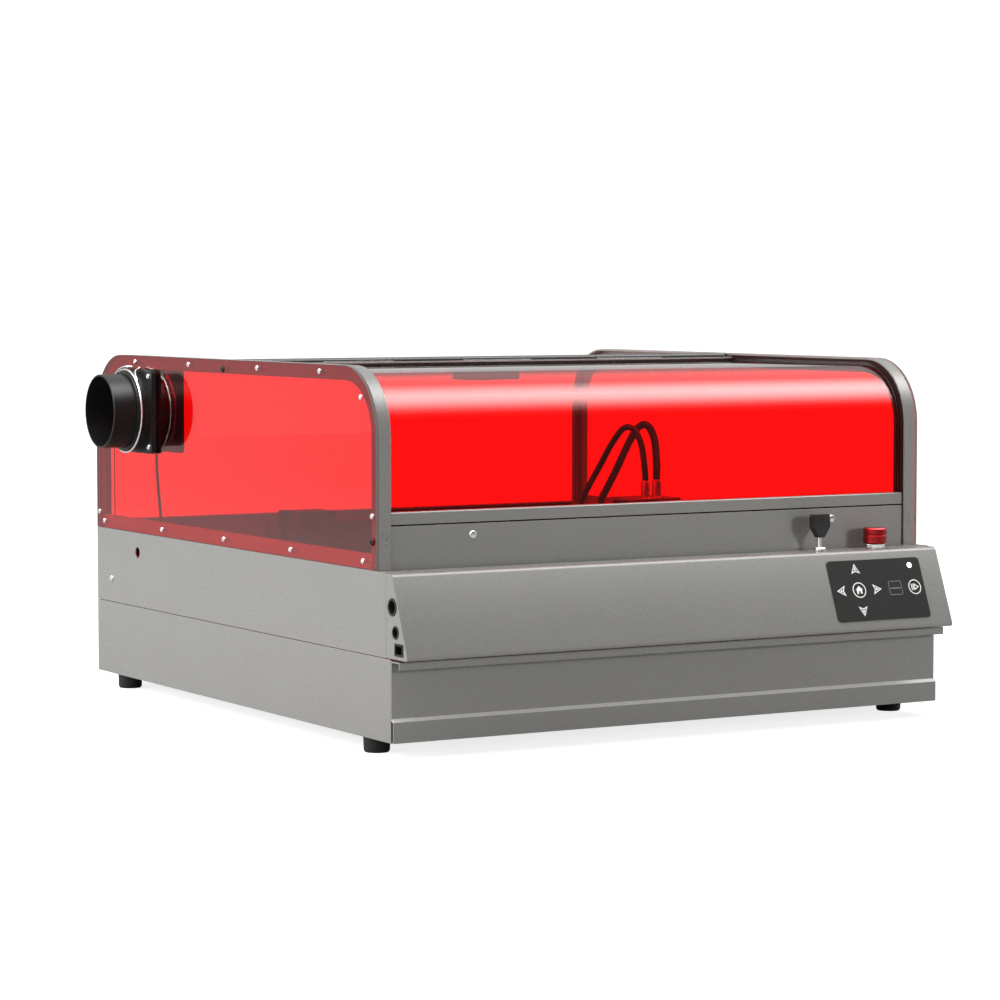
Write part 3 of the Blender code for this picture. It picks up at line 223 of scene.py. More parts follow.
# ---------------------------------------------------------------- kinds of material
# Noise scales are in waves per metre. Bump distances and edge radii are in metres.
COAT_MOTTLE, COAT_FLECKS, COAT_UNEVEN, COAT_PEEL = 15.0, 2600.0, 700.0, 1150.0
COAT_EDGE = 0.0007


def powder_coat(name, colour, roughness=0.28, mask=None, masked=None):
    """Satin powder coat: fine orange peel, a faint mottle, tiny lighter flecks and soft edges.

    A mask is a function that gives a socket, which is 1 where the piece has the second colour.
    """
    s = Shader(name)
    s.set(Metallic=0.0, Specular_IOR_Level=0.5)
    base = s.toned(s.noise(COAT_MOTTLE, 2.0), colour, 0.982, 1.018, (0.20, 0.80))
    fleck = s.ramp(s.noise(COAT_FLECKS, 1.0), greys((0.56, 0.0), (0.80, 0.035)))
    coat = s.blend(0.45, base, fleck, "ADD")
    s.colour(s.blend(mask(s), coat, masked) if mask else coat)
    s.roughness(s.grey_ramp(s.noise(COAT_UNEVEN, 2.0), roughness - 0.015, roughness + 0.015))
    s.normal(s.bump(s.noise(COAT_PEEL, 2.0), 0.08, 0.00020, s.rounded_edges(COAT_EDGE)))
    return s.material


def moulded(name, colour, roughness=0.45, grain=1500.0, depth=0.30, gloss=0.22):
    """Moulded plastic or rubber with a fine spark-eroded grain and faint handling marks."""
    s = Shader(name)
    s.set(Specular_IOR_Level=gloss)
    s.colour(s.toned(s.noise(60.0), colour, 0.95, 1.06))
    s.roughness(s.grey_ramp(s.noise(500.0, 2.0), roughness - 0.02, roughness + 0.03))
    s.normal(s.bump(s.noise(grain, 2.0), depth, 0.0002, s.rounded_edges(0.0005)))
    return s.material


def brushed(name, colour, roughness=0.30, stretch=(1.0, 60.0, 60.0), metallic=1.0):
    """Machined or drawn metal with fine lines along one axis."""
    s = Shader(name)
    s.set(Metallic=metallic)
    lines = s.noise(26.0, 5.0, stretch, 0.65)
    s.colour(s.toned(lines, colour, 0.80, 1.08, (0.25, 0.75)))
    s.roughness(s.grey_ramp(lines, roughness - 0.08, roughness + 0.10))
    s.normal(s.bump(lines, 0.10, 0.0001, s.rounded_edges(0.0004)))
    return s.material


ACRYLIC_IOR = 1.49
ACRYLIC_ROUGHNESS = (0.012, 0.047)


def acrylic(name, tint, edge, edge_faces_across):
    """Polished transparent sheet: each face tints what is seen through it and mirrors by Fresnel.

    The sawn edges are matt, with the edge's colour. They are the faces that look across X, or along it, as
    edge_faces_across says.
    """
    s = Shader(name)
    s.tree.nodes.remove(s.surface)
    clear = s.node("BsdfTransparent")
    s.link(s.ramp(s.noise(3.0, 2.0), [(0.3, tint), (0.7, (tint[0], tint[1] * 0.96, tint[2] * 0.96))]),
           clear.inputs["Color"])
    gloss = s.node("BsdfGlossy")
    gloss.inputs["Color"].default_value = (1.0, 1.0, 1.0, 1.0)
    smudge = s.ramp(s.noise(7.0, 4.0), greys(*zip((0.45, 0.75), ACRYLIC_ROUGHNESS)))
    s.link(smudge, gloss.inputs["Roughness"])
    sawn = s.node("BsdfDiffuse")
    s.link(s.toned(s.noise(900.0), edge, 0.8, 1.2), sawn.inputs["Color"])
    geometry = s.node("NewGeometry")
    along_x = s.more(s.math("ABSOLUTE", s.split(geometry.outputs["True Normal"])[0]), 0.5)
    is_edge = s.math("SUBTRACT", 1.0, along_x) if edge_faces_across else along_x
    fresnel = s.node("Fresnel")
    change_inside = 1.0 / ACRYLIC_IOR - ACRYLIC_IOR
    index = s.math("MULTIPLY_ADD", geometry.outputs["Backfacing"], change_inside, ACRYLIC_IOR)
    s.link(index, fresnel.inputs["IOR"])
    face = s.node("MixShader")
    for target, source in zip(face.inputs, (fresnel, clear, gloss)):
        s.link(source.outputs[0], target)
    whole = s.node("MixShader")
    for target, socket in zip(whole.inputs, (is_edge, face.outputs[0], sawn.outputs[0])):
        s.link(socket, target)
    s.link(whole.outputs[0], s.output.inputs["Surface"])
    return s.material


def knurled(name, colour, centre, teeth, roughness=0.22, metallic=1.0, depth=0.5):
    """Turned metal with straight knurling round a vertical axis."""
    s = Shader(name)
    s.set(Metallic=metallic, Coat_Weight=0.3, Coat_Roughness=0.1)
    x, y, z = s.place()
    angle = s.math("ARCTAN2", s.math("SUBTRACT", y, centre.y), s.math("SUBTRACT", x, centre.x))
    ribs = s.times(s.math("SINE", s.times(angle, float(teeth))), 0.9)
    s.colour(s.toned(s.noise(90.0), colour, 0.85, 1.1))
    s.roughness(s.grey_ramp(s.noise(150.0), roughness - 0.08, roughness + 0.08))
    s.normal(s.bump(ribs, depth, 0.0004, s.rounded_edges(0.0006)))
    return s.material


STRANDS_ROUND = 8
STRANDS_PER_METRE = 900


def braided(name, colour):
    """A woven sleeve along a cable's own UV: two crossing sets of strands."""
    s = Shader(name)
    s.set(Specular_IOR_Level=0.3)
    u, v = s.split(s.coords("UV"))[:2]
    around = s.times(u, 2 * math.pi * STRANDS_ROUND)
    along = s.times(v, 2 * math.pi * STRANDS_PER_METRE)
    weave = s.math("MAXIMUM", s.math("SINE", s.math("ADD", around, along)),
                   s.math("SINE", s.math("SUBTRACT", around, along)))
    s.colour(s.toned(weave, colour, 0.5, 1.5, (0.0, 1.0)))
    s.roughness(s.grey_ramp(s.noise(300.0, 2.0), 0.55, 0.75))
    s.normal(s.bump(weave, 0.6, 0.0003))
    return s.material


def printed(name, colour, strength=0.0):
    """Silk-screened ink, slightly uneven, that can glow a little as a lit legend."""
    s = Shader(name)
    tone = s.noise(700.0)
    s.colour(s.toned(tone, colour, 0.86, 1.0, (0.2, 0.7)))
    s.roughness(s.grey_ramp(tone, 0.42, 0.58))
    s.normal(s.bump(tone, 0.1, 0.00005))
    if strength:
        s.set(Emission_Color=(*colour, 1.0), Emission_Strength=strength)
    return s.material


# ---------------------------------------------------------------- where a piece has a second colour: painted shade or a painted highlight
LID_STRIP_X = 0.3055
LID_RAIL_TOP_Z = 0.2347
LID_REAR_Y = 0.3495
LID_TOP_EDGE_Y, LID_TOP_EDGE_Z = 0.3592, 0.3700
HOOP_FLANGE_X = 0.32168
CREASE_LOW_Z, CREASE_HIGH_Z = 0.0361, 0.0392
CREASE_REAR_Y = 0.0018


def off_middle(s, x):
    """The distance from the machine's middle plane."""
    return s.math("ABSOLUTE", s.math("SUBTRACT", x, ORIGIN.x))


def lid_edges_shade(s):
    """1 on the lid's side strips above the front rail, and on the rear rail except its top edge, where
    near-black paints the shade of the gaps.
    """
    x, y, z = s.place()
    strip = s.times(s.more(off_middle(s, x), LID_STRIP_X), s.more(z, LID_RAIL_TOP_Z))
    top_edge = s.times(s.more(z, LID_TOP_EDGE_Z), s.less(y, ORIGIN.y + LID_TOP_EDGE_Y))
    rear = s.times(s.more(y, ORIGIN.y + LID_REAR_Y), s.math("SUBTRACT", 1.0, top_edge))
    return s.math("MAXIMUM", strip, rear)


def hoop_flange_shade(s):
    """1 on a hoop's flange behind its pane, where a darker colour paints shade."""
    return s.more(off_middle(s, s.place()[0]), HOOP_FLANGE_X)


def drawer_crease_highlight(s):
    """1 on the narrow bevel above the drawer's pull lip, where a lighter colour paints a highlight."""
    x, y, z = s.place()
    between = s.times(s.more(z, CREASE_LOW_Z), s.less(z, CREASE_HIGH_Z))
    return s.times(between, s.less(y, ORIGIN.y + CREASE_REAR_Y))


# ---------------------------------------------------------------- materials
PAINT = (0.222, 0.219, 0.208)
SIDE_PAINT = powder_coat("side_paint", PAINT)
# The front paint's lighter band above the drawer's pull lip is a painted highlight.
FRONT_PAINT = powder_coat("front_paint", PAINT, mask=drawer_crease_highlight, masked=(0.62, 0.61, 0.59))
# The hoops' darker flanges behind their panes are painted shade.
HOOP_PAINT = powder_coat("hoop_paint", PAINT, mask=hoop_flange_shade, masked=(0.10, 0.095, 0.095))
# The lid's near-black side strips and rear rail are painted shade of the gaps beside them.
LID_PAINT = powder_coat("lid_paint", PAINT, mask=lid_edges_shade, masked=(0.012, 0.010, 0.010))
DARK_PAINT = powder_coat("dark_paint", (0.022, 0.022, 0.021), 0.45)
SIDE_ACRYLIC = acrylic("side_acrylic", (1.0, 0.115, 0.115), (0.21, 0.175, 0.170), True)
FRONT_ACRYLIC = acrylic("front_acrylic", (1.0, 0.08, 0.08), (0.050, 0.004, 0.004), False)
BLACK_PLASTIC = moulded("black_plastic", (0.018, 0.018, 0.018), 0.40)
SOFT_BLACK = moulded("duct_plastic", (0.013, 0.013, 0.0135), 0.34, grain=900.0, depth=0.15)
RUBBER = moulded("rubber", (0.022, 0.022, 0.022), 0.70, grain=800.0)
# Near-black, faintly red and dull: paint for the dark strips that stand in for the shade in the gaps round
# the lid.
GAP_SHADE = moulded("painted_gap_shade", (0.016, 0.006, 0.006), 0.60, grain=800.0, gloss=0.10)
STEEL = brushed("steel", (0.62, 0.61, 0.59), 0.26)
BRIGHT = brushed("bright_zinc", (0.80, 0.80, 0.79), 0.22, stretch=(30.0, 30.0, 30.0))
ALUMINIUM = brushed("aluminium", (0.56, 0.56, 0.57), 0.34)
ANODISED = brushed("black_anodised", (0.030, 0.030, 0.033), 0.40, metallic=0.8)
BRASS = brushed("brass", (0.72, 0.50, 0.18), 0.28, stretch=(20.0, 20.0, 80.0))
MEMBRANE = moulded("membrane", (0.022, 0.023, 0.021), 0.24, grain=2600.0, depth=0.08, gloss=0.20)
BOARD = moulded("circuit_board", (0.015, 0.10, 0.045), 0.42, grain=600.0)
BRAID = braided("cable_braid", (0.020, 0.020, 0.020))
HOSE = moulded("air_hose", (0.020, 0.020, 0.021), 0.30, grain=500.0, depth=0.10)
WHITE_INK = printed("white_ink", (0.82, 0.83, 0.82), 0.12)
DIM_INK = printed("dim_ink", (0.20, 0.20, 0.195))
LED_INK = printed("led_lens", (1.0, 1.0, 1.0), 1.2)
STOP_CENTRE = at(0.257, 0.015, 0.1785)
STOP_RED = knurled("stop_red", (0.36, 0.005, 0.009), STOP_CENTRE, 44, metallic=0.85, depth=0.18)
STOP_COLLAR = knurled("stop_collar", (0.80, 0.80, 0.79), STOP_CENTRE, 40, depth=0.45)
KEY_SHANK_TOP_Z = 0.1929


def key_finish():
    """A moulded black head on a steel shank."""
    s = Shader("key_finish")
    shank = s.less(s.place()[2], KEY_SHANK_TOP_Z)
    tone = s.noise(90.0)
    plastic = s.ramp(tone, [(0.3, (0.016, 0.016, 0.016)), (0.7, (0.028, 0.028, 0.027))])
    steel = s.ramp(tone, [(0.3, (0.60, 0.59, 0.57)), (0.7, (0.78, 0.77, 0.75))])
    s.set(Specular_IOR_Level=0.22)
    s.colour(s.blend(shank, plastic, steel))
    s.link(shank, s.surface.inputs["Metallic"])
    s.roughness(s.blend(shank, s.grey_ramp(tone, 0.38, 0.50), s.grey_ramp(tone, 0.18, 0.28)))
    s.normal(s.bump(s.noise(1500.0, 2.0), 0.25, 0.0002, s.rounded_edges(0.0006)))
    return s.material


KEY_FINISH = key_finish()
NODE_MATERIALS = {
    SIDE_PAINT: ("base_shell", "left_side_panel", "right_side_panel", "rear_panel", "drawer_tray"),
    FRONT_PAINT: ("front_fascia", "control_apron", "drawer_front"),
    HOOP_PAINT: ("left_hoop", "right_hoop"),
    LID_PAINT: ("lid_frame",),
    DARK_PAINT: ("top_crossbar",),
    SIDE_ACRYLIC: ("left_window", "right_window"),
    FRONT_ACRYLIC: ("lid_window", "rear_window"),
    BLACK_PLASTIC: ("side_ports", "camera_housing", "lid_sensor_left", "lid_sensor_right", "fan_frame",
                    "fan_rotor", "estop_plunger"),
    KEY_FINISH: ("key",),
    SOFT_BLACK: ("duct_flange", "duct_pipe"),
    RUBBER: ("foot_front_left", "foot_front_right", "foot_rear_left", "foot_rear_right", "fan_lead",
             "x_belt", "y_belt_left", "y_belt_right"),
    STEEL: ("key_switch_barrel", "hinge_pin", "drawer_runner_left", "drawer_runner_right",
            "y_drive_shaft", "y_idler_left", "y_idler_right", "x_pulley", "x_idler"),
    STOP_RED: ("estop_cap",),
    STOP_COLLAR: ("estop_collar",),
    ALUMINIUM: ("gantry_plate_left", "gantry_plate_right", "carriage_plate"),
    ANODISED: ("motion_frame", "y_motor", "gantry_beam", "x_motor", "laser_housing"),
    MEMBRANE: ("keypad_overlay",),
    BOARD: ("control_board",),
    BRASS: ("laser_nozzle",),
}


def dress_node(thing, material):
    """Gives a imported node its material."""
    if not thing.material_slots:
        thing.data.materials.append(material)
    for slot in thing.material_slots:
        slot.link = "OBJECT"
        slot.material = material


def smooth_node(thing):
    """Smooth shading with sharp edges kept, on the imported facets."""
    mesh = thing.data
    if mesh.has_custom_normals:
        bpy.context.view_layer.objects.active = thing
        with bpy.context.temp_override(object=thing, active_object=thing):
            bpy.ops.mesh.customdata_custom_splitnormals_clear()
    mesh.shade_smooth()
    weld = thing.modifiers.new("weld", "WELD")
    weld.merge_threshold = 0.00001
    split = thing.modifiers.new("sharp", "EDGE_SPLIT")
    split.split_angle = math.radians(30)


for material, names in NODE_MATERIALS.items():
    for name in names:
        dress_node(NODES[name], material)
for thing in NODES.values():
    smooth_node(thing)


# ---------------------------------------------------------------- mesh helpers
def piece(name, bm, material, body, smooth=True):
    """Makes a piece from a bmesh in the row frame and lets it ride on a body."""
    bmesh.ops.recalc_face_normals(bm, faces=bm.faces)
    mesh = bpy.data.meshes.new(name)
    bm.to_mesh(mesh)
    bm.free()
    if smooth:
        mesh.shade_smooth()
        mesh.set_sharp_from_angle(angle=math.radians(35))
    mesh.materials.append(material)
    thing = bpy.data.objects.new(name, mesh)
    bpy.context.scene.collection.objects.link(thing)
    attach(thing, body)
    return thing


def axis_matrix(place, axis):
    """A frame at a place whose Z points along the axis."""
    return Matrix.Translation(place) @ Vector(axis).to_track_quat("Z", "Y").to_matrix().to_4x4()


def bridge(bm, first, second, closed=True):
    """Joins two rows of vertices with quads. A closed row goes on from its last vertex to its first."""
    for i in range(len(first) if closed else len(first) - 1):
        j = (i + 1) % len(first)
        bm.faces.new((first[i], first[j], second[j], second[i]))


def skin(bm, rings):
    """Joins rings one after another and caps the first and the last."""
    for low, high in zip(rings, rings[1:]):
        bridge(bm, low, high)
    bm.faces.new(rings[0])
    bm.faces.new(rings[-1])


def ring_of(bm, matrix, height, spokes):
    """Vertices round the matrix's Z, at the (radius, angle) spokes."""
    return [bm.verts.new(matrix @ Vector((r * math.cos(a), r * math.sin(a), height))) for r, a in spokes]


def even_angles(sides):
    return [2 * math.pi * i / sides for i in range(sides)]


def turned(bm, matrix, profile, sides):
    """Turns (radius, height) points round the matrix's Z."""
    skin(bm, [ring_of(bm, matrix, height, [(radius, a) for a in even_angles(sides)])
              for radius, height in profile])


def block(bm, matrix, low, high):
    """A block between two corners in the matrix's frame."""
    size = [b - a for a, b in zip(low, high)]
    centre = [(a + b) / 2 for a, b in zip(low, high)]
    shape = Matrix.Translation(centre) @ Matrix.Diagonal((*size, 1))
    bmesh.ops.create_cube(bm, size=1.0, matrix=matrix @ shape)


HEAD_PROFILE = ((1.0, 0.0), (1.0, 0.45), (0.93, 0.72), (0.74, 0.93), (0.50, 1.0))
HEAD_SIDES = 20
HEXAGON = 6
RECESS_RADIUS = 0.40
RECESS_FLOOR = 0.35


def pan_screw(bm, place, axis, radius, height):
    """A pan-head screw with a hexagon recess, standing on the place."""
    matrix = axis_matrix(place, axis)
    angles = even_angles(HEAD_SIDES)
    rings = [ring_of(bm, matrix, height * up, [(radius * out, a) for a in angles])
             for out, up in HEAD_PROFILE]
    flat = radius * RECESS_RADIUS * math.cos(math.pi / HEXAGON)
    recess = [(flat / math.cos(a % (2 * math.pi / HEXAGON) - math.pi / HEXAGON), a) for a in angles]
    for up in (1.0, RECESS_FLOOR):
        rings.append(ring_of(bm, matrix, height * up, recess))
    skin(bm, rings)


def smooth_route(points, per_span=6):
    """Catmull-Rom points through a route's own points."""
    points = [Vector(p) for p in points]
    padded = [2 * points[0] - points[1]] + points + [2 * points[-1] - points[-2]]
    route = []
    for i in range(1, len(padded) - 2):
        a, b, c, d = padded[i - 1:i + 3]
        for k in range(per_span):
            t = k / per_span
            route.append(0.5 * (2 * b + (c - a) * t + (2 * a - 5 * b + 4 * c - d) * t * t
                                + (3 * b - a - 3 * c + d) * t ** 3))
    route.append(points[-1])
    return route


def tube(bm, route, radius, sides, closed=False):
    """Sweeps a circle along a route with frames carried along it, and lays a UV round and along it."""
    uv = bm.loops.layers.uv.verify()
    count = len(route)
    tangents = []
    for i in range(count):
        before = route[(i - 1) % count] if closed or i else route[i]
        after = route[(i + 1) % count] if closed or i < count - 1 else route[i]
        tangents.append((after - before).normalized())
    side = tangents[0].orthogonal().normalized()
    rings, lengths, travelled = [], [], 0.0
    for i, point in enumerate(route):
        side = (side - tangents[i] * side.dot(tangents[i])).normalized()
        up = tangents[i].cross(side)
        if i:
            travelled += (point - route[i - 1]).length
        lengths.append(travelled)
        rings.append([bm.verts.new(point + (side * math.cos(a) + up * math.sin(a)) * radius)
                      for a in (2 * math.pi * k / sides for k in range(sides))])
    for i in range(count if closed else count - 1):
        low, high = rings[i], rings[(i + 1) % count]
        last = lengths[i + 1] if i + 1 < count else travelled
        for k in range(sides):
            j = (k + 1) % sides
            face = bm.faces.new((low[k], low[j], high[j], high[k]))
            corners = ((k, lengths[i]), (k + 1, lengths[i]), (k + 1, last), (k, last))
            for loop, (u, v) in zip(face.loops, corners):
                loop[uv].uv = (u / sides, v)
    if not closed:
        bm.faces.new(rings[0])
        bm.faces.new(rings[-1])


# ---------------------------------------------------------------- screws and studs
# A head is its radius and its height.
PANE_HEAD = (0.0029, 0.0017)
CASE_HEAD = (0.0036, 0.0018)
HOOP_HEAD = (0.0036, 0.0022)
CROSSBAR_HEAD = (0.0034, 0.0016)
FLANGE_HEAD = (0.0032, 0.0020)
FAN_HEAD = (0.0030, 0.0018)
REAR_HEAD = (0.0029, 0.0015)
PANE_REAR_Y, PANE_PITCH = 0.684, 0.1562
PANE_LOW_Z, PANE_TOP_Z = 0.1870, 0.3686
PANE_SCREWS = [(PANE_REAR_Y - k * PANE_PITCH, PANE_LOW_Z) for k in range(5)]
PANE_SCREWS += [(y, PANE_TOP_Z) for y in (0.596, 0.457, 0.290, 0.150)]
PANE_SCREWS += [(0.063, 0.3456), (0.040, 0.2315), (0.6975, 0.197)]
CASE_SCREW = (0.665, 0.123)
HOOP_SCREW = (0.0400, 0.2065)
CROSSBAR_SCREW = (0.3725, 0.3655)
REAR_LOW_Z, REAR_HIGH_Z = 0.108, 0.168
REAR_LOW_X = (-0.285, -0.15, 0.0, 0.15, 0.285)
REAR_HIGH_X = (-0.285, 0.285)
STUD_X, STUD_Y, STUD_Z = 0.216, 0.0360, 0.2100
STUD_PROFILE = ((0.0039, 0.0), (0.0039, 0.0009), (0.0035, 0.0014), (0.0012, 0.0016))
DUCT_Y, DUCT_Z = 0.587, 0.315
DUCT = at(0.0, DUCT_Y, DUCT_Z)
FAN_CORNER = 0.0385
FLANGE_FACE_X = -HALF - 0.0058
FAN_FACE_X = -0.2917


def screw_set(name, screws, material=BRIGHT):
    """Screws in one piece. Each is its place in the machine frame, its axis and its head."""
    bm = bmesh.new()
    for place, axis, (radius, height) in screws:
        pan_screw(bm, at(*place), axis, radius, height)
    piece(name, bm, material, "chassis")


def side_screw(side, yz, head):
    return (side * HALF, *yz), (side, 0, 0), head


def corner_screws(name, x, axis, head):
    """Four screws round the duct, at the corners of the fan."""
    screw_set(name, [((x, DUCT_Y + dy, DUCT_Z + dz), axis, head)
                     for dy in (-FAN_CORNER, FAN_CORNER) for dz in (-FAN_CORNER, FAN_CORNER)])


def fascia_studs():
    bm = bmesh.new()
    for x in (-STUD_X, STUD_X):
        turned(bm, axis_matrix(at(x, STUD_Y, STUD_Z), (0, -1, 0)), STUD_PROFILE, 24)
    piece("fascia_studs", bm, BRIGHT, "chassis")


for side, end in ((-1, "left"), (1, "right")):
    screw_set(f"pane_screws_{end}", [side_screw(side, place, PANE_HEAD) for place in PANE_SCREWS]
              + [side_screw(side, CASE_SCREW, CASE_HEAD)])
screw_set("black_screws", [side_screw(side, place, head) for side in (-1, 1)
                           for place, head in ((HOOP_SCREW, HOOP_HEAD), (CROSSBAR_SCREW, CROSSBAR_HEAD))],
          BLACK_PLASTIC)
fascia_studs()
corner_screws("flange_screws", FLANGE_FACE_X, (-1, 0, 0), FLANGE_HEAD)
corner_screws("fan_screws", FAN_FACE_X, (1, 0, 0), FAN_HEAD)
screw_set("rear_screws", [((x, DEPTH, z), (0, 1, 0), REAR_HEAD)
                          for z, places in ((REAR_LOW_Z, REAR_LOW_X), (REAR_HIGH_Z, REAR_HIGH_X))
                          for x in places])

# ---------------------------------------------------------------- the hose clamp
CLAMP_X = -0.3418
RING_RADIUS = 0.0454
WIRE = 0.00125
RING_POINTS = 96
# Points of the two free ends: along the pipe and out from the ring, and the angle round the duct.
LONG_END = ((0.0016, 0.0002, 48), (0.0026, 0.0006, 60), (0.0060, 0.0020, 70), (0.0105, 0.0028, 74))
SHORT_END = ((-0.0014, 0.0004, 118), (-0.0004, 0.0022, 104), (0.0030, 0.0034, 92), (0.0078, 0.0030, 86))
EYE = (0.0122, 0.0020, 74)
EYE_RADIUS = 0.0022


def round_duct(along, out, angle):
    """A point near the clamp's ring. The angle is in degrees from the front, over the top."""
    a = math.radians(angle)
    radius = RING_RADIUS + out
    return Vector((ORIGIN.x + CLAMP_X + along, DUCT.y - radius * math.cos(a), DUCT.z + radius * math.sin(a)))


def wire_clamp():
    bm = bmesh.new()
    ring = [round_duct(0.0, 0.0, 360 * i / RING_POINTS) for i in range(RING_POINTS)]
    tube(bm, ring, WIRE, 10, closed=True)
    tube(bm, smooth_route([round_duct(*point) for point in LONG_END]), WIRE * 0.9, 10)
    eye = round_duct(*EYE)
    loop = [eye + Vector((EYE_RADIUS * math.cos(a), 0.0, EYE_RADIUS * math.sin(a)))
            for a in (math.radians(30 * k) for k in range(12))]
    tube(bm, loop, WIRE * 0.75, 8, closed=True)
    tube(bm, smooth_route([round_duct(*point) for point in SHORT_END]), WIRE * 0.9, 10)
    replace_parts(piece("wire_clamp", bm, BRIGHT, "chassis"), "hose_clamp")


wire_clamp()

# ---------------------------------------------------------------- keypad legends
# Legends lie on the slope's own frame: U to the right, V up the slope, and W out of it.
SLOPE_TOP = (-0.0010, 0.1738)
SLOPE_FOOT = (-0.0290, 0.1030)
RISE = math.atan2(SLOPE_TOP[1] - SLOPE_FOOT[1], SLOPE_TOP[0] - SLOPE_FOOT[0])
KEYPAD_CENTRE = at(0.2395, (SLOPE_TOP[0] + SLOPE_FOOT[0]) / 2, (SLOPE_TOP[1] + SLOPE_FOOT[1]) / 2)
SLOPE = Matrix.Translation(KEYPAD_CENTRE) @ Matrix.Rotation(RISE, 4, "X")
LEGEND_LOW, LEGEND_HIGH = 0.00112, 0.00122
HOME_U, HOME_V, HOME_RADIUS = -0.0250, 0.0004, 0.0083
PLAY_U, PLAY_V, PLAY_RADIUS = 0.0465, 0.0006, 0.0080
CIRCLE_LINE = 0.0010
ARROW_REACH = 0.0222
ARROW = ((-0.0056, -0.0046), (0.0, -0.0024), (0.0056, -0.0046), (0.0, 0.0062))
ARROW_INNER = ((-0.0036, -0.0027), (0.0, -0.0011), (0.0036, -0.0027), (0.0, 0.0038))
ARROW_CORE = ((-0.0016, -0.0010), (0.0, -0.0004), (0.0016, -0.0010), (0.0, 0.0026))
HOUSE = ((-0.0046, 0.0002), (0.0, 0.0046), (0.0046, 0.0002), (0.0034, 0.0002), (0.0034, -0.0040),
         (0.0012, -0.0040), (0.0012, -0.0012), (-0.0012, -0.0012), (-0.0012, -0.0040), (-0.0034, -0.0040),
         (-0.0034, 0.0002))
TRIANGLE = ((-0.0008, -0.0038), (0.0052, 0.0), (-0.0008, 0.0038))
TRIANGLE_INNER = ((0.0001, -0.0022), (0.0034, 0.0), (0.0001, 0.0022))
BAR_HALF, BAR_WIDTH, BAR_SHIFTS = 0.0034, 0.0010, (-0.0044, -0.0024)
SLOT_U, SLOT_V, SLOT_BAR_V = 0.0215, 0.0006, 0.0004
LIGHT_U, LIGHT_V = 0.0455, 0.0243
LIGHT_PROFILE = ((0.0030, 0.0), (0.0030, 0.0003), (0.0024, 0.0007), (0.0010, 0.0009))


def on_slope(bm, outline, height):
    return [bm.verts.new(SLOPE @ Vector((u, v, height))) for u, v in outline]


def plate(bm, outline):
    """A thin raised legend from an outline on the slope."""
    low = on_slope(bm, outline, LEGEND_LOW)
    high = on_slope(bm, outline, LEGEND_HIGH)
    bm.faces.new(low)
    bm.faces.new(high)
    bridge(bm, low, high)


def outline_ring(bm, outer, inner):
    """A thin raised line between two outlines with the same number of points."""
    rows = [on_slope(bm, outline, height) for outline, height in
            ((outer, LEGEND_LOW), (outer, LEGEND_HIGH), (inner, LEGEND_HIGH), (inner, LEGEND_LOW))]
    for first, second in zip(rows, rows[1:] + rows[:1]):
        bridge(bm, first, second)


def circle(u, v, radius, count=40):
    return [(u + radius * math.cos(2 * math.pi * i / count), v + radius * math.sin(2 * math.pi * i / count))
            for i in range(count)]


def circle_line(bm, u, v, radius):
    outline_ring(bm, circle(u, v, radius), circle(u, v, radius - CIRCLE_LINE))


def placed(outline, u, v, angle=0.0):
    """An outline turned by an angle and moved to a place on the slope."""
    c, s = math.cos(angle), math.sin(angle)
    return [(u + a * c - b * s, v + a * s + b * c) for a, b in outline]


def rounded(u, v, width, height, radius, steps=4):
    """The outline of a rectangle with rounded corners."""
    points = []
    for cu, cv, start in ((1, 1, 0), (-1, 1, 90), (-1, -1, 180), (1, -1, 270)):
        for i in range(steps + 1):
            a = math.radians(start + 90 * i / steps)
            points.append((u + cu * (width / 2 - radius) + radius * math.cos(a),
                           v + cv * (height / 2 - radius) + radius * math.sin(a)))
    return points


def key_legends():
    """Four arrows round a house, and a play sign."""
    bm = bmesh.new()
    for k in range(4):
        angle = math.pi / 2 * k
        u = HOME_U - ARROW_REACH * math.sin(angle)
        v = HOME_V + ARROW_REACH * math.cos(angle)
        outline_ring(bm, placed(ARROW, u, v, angle), placed(ARROW_INNER, u, v, angle))
        plate(bm, placed(ARROW_CORE, u, v, angle))
    circle_line(bm, HOME_U, HOME_V, HOME_RADIUS)
    plate(bm, placed(HOUSE, HOME_U, HOME_V))
    circle_line(bm, PLAY_U, PLAY_V, PLAY_RADIUS)
    outline_ring(bm, placed(TRIANGLE, PLAY_U, PLAY_V), placed(TRIANGLE_INNER, PLAY_U, PLAY_V))
    for shift in BAR_SHIFTS:
        end = shift + BAR_WIDTH
        plate(bm, placed(((shift, -BAR_HALF), (end, -BAR_HALF), (end, BAR_HALF), (shift, BAR_HALF)),
                         PLAY_U, PLAY_V))
    piece("keypad_legends", bm, WHITE_INK, "chassis", smooth=False)


def slot_legend():
    bm = bmesh.new()
    outline_ring(bm, rounded(SLOT_U, SLOT_V, 0.0165, 0.0150, 0.0022),
                 rounded(SLOT_U, SLOT_V, 0.0155, 0.0140, 0.0018))
    plate(bm, rounded(SLOT_U, SLOT_BAR_V, 0.0130, 0.0010, 0.0004, 2))
    piece("keypad_slot_legend", bm, DIM_INK, "chassis", smooth=False)


def status_light():
    bm = bmesh.new()
    turned(bm, SLOPE @ Matrix.Translation((LIGHT_U, LIGHT_V, LEGEND_LOW - 0.0001)), LIGHT_PROFILE, 24)
    piece("status_light", bm, LED_INK, "chassis")


key_legends()
slot_legend()
status_light()

# ---------------------------------------------------------------- raised marks on the hoops' feet
MARK_X, MARK_Z = 0.3140, 0.2100
MARK_ROOT = 0.0001
MARK_BAR_OFFSET, MARK_BAR_HALF_LENGTH, MARK_BAR_HALF_WIDTH, MARK_BAR_RISE = 0.0046, 0.0040, 0.0008, 0.00035
STROKE_SLANT, STROKE_HALF_LENGTH, STROKE_HALF_WIDTH, STROKE_RISE = 40, 0.0052, 0.0005, 0.00032


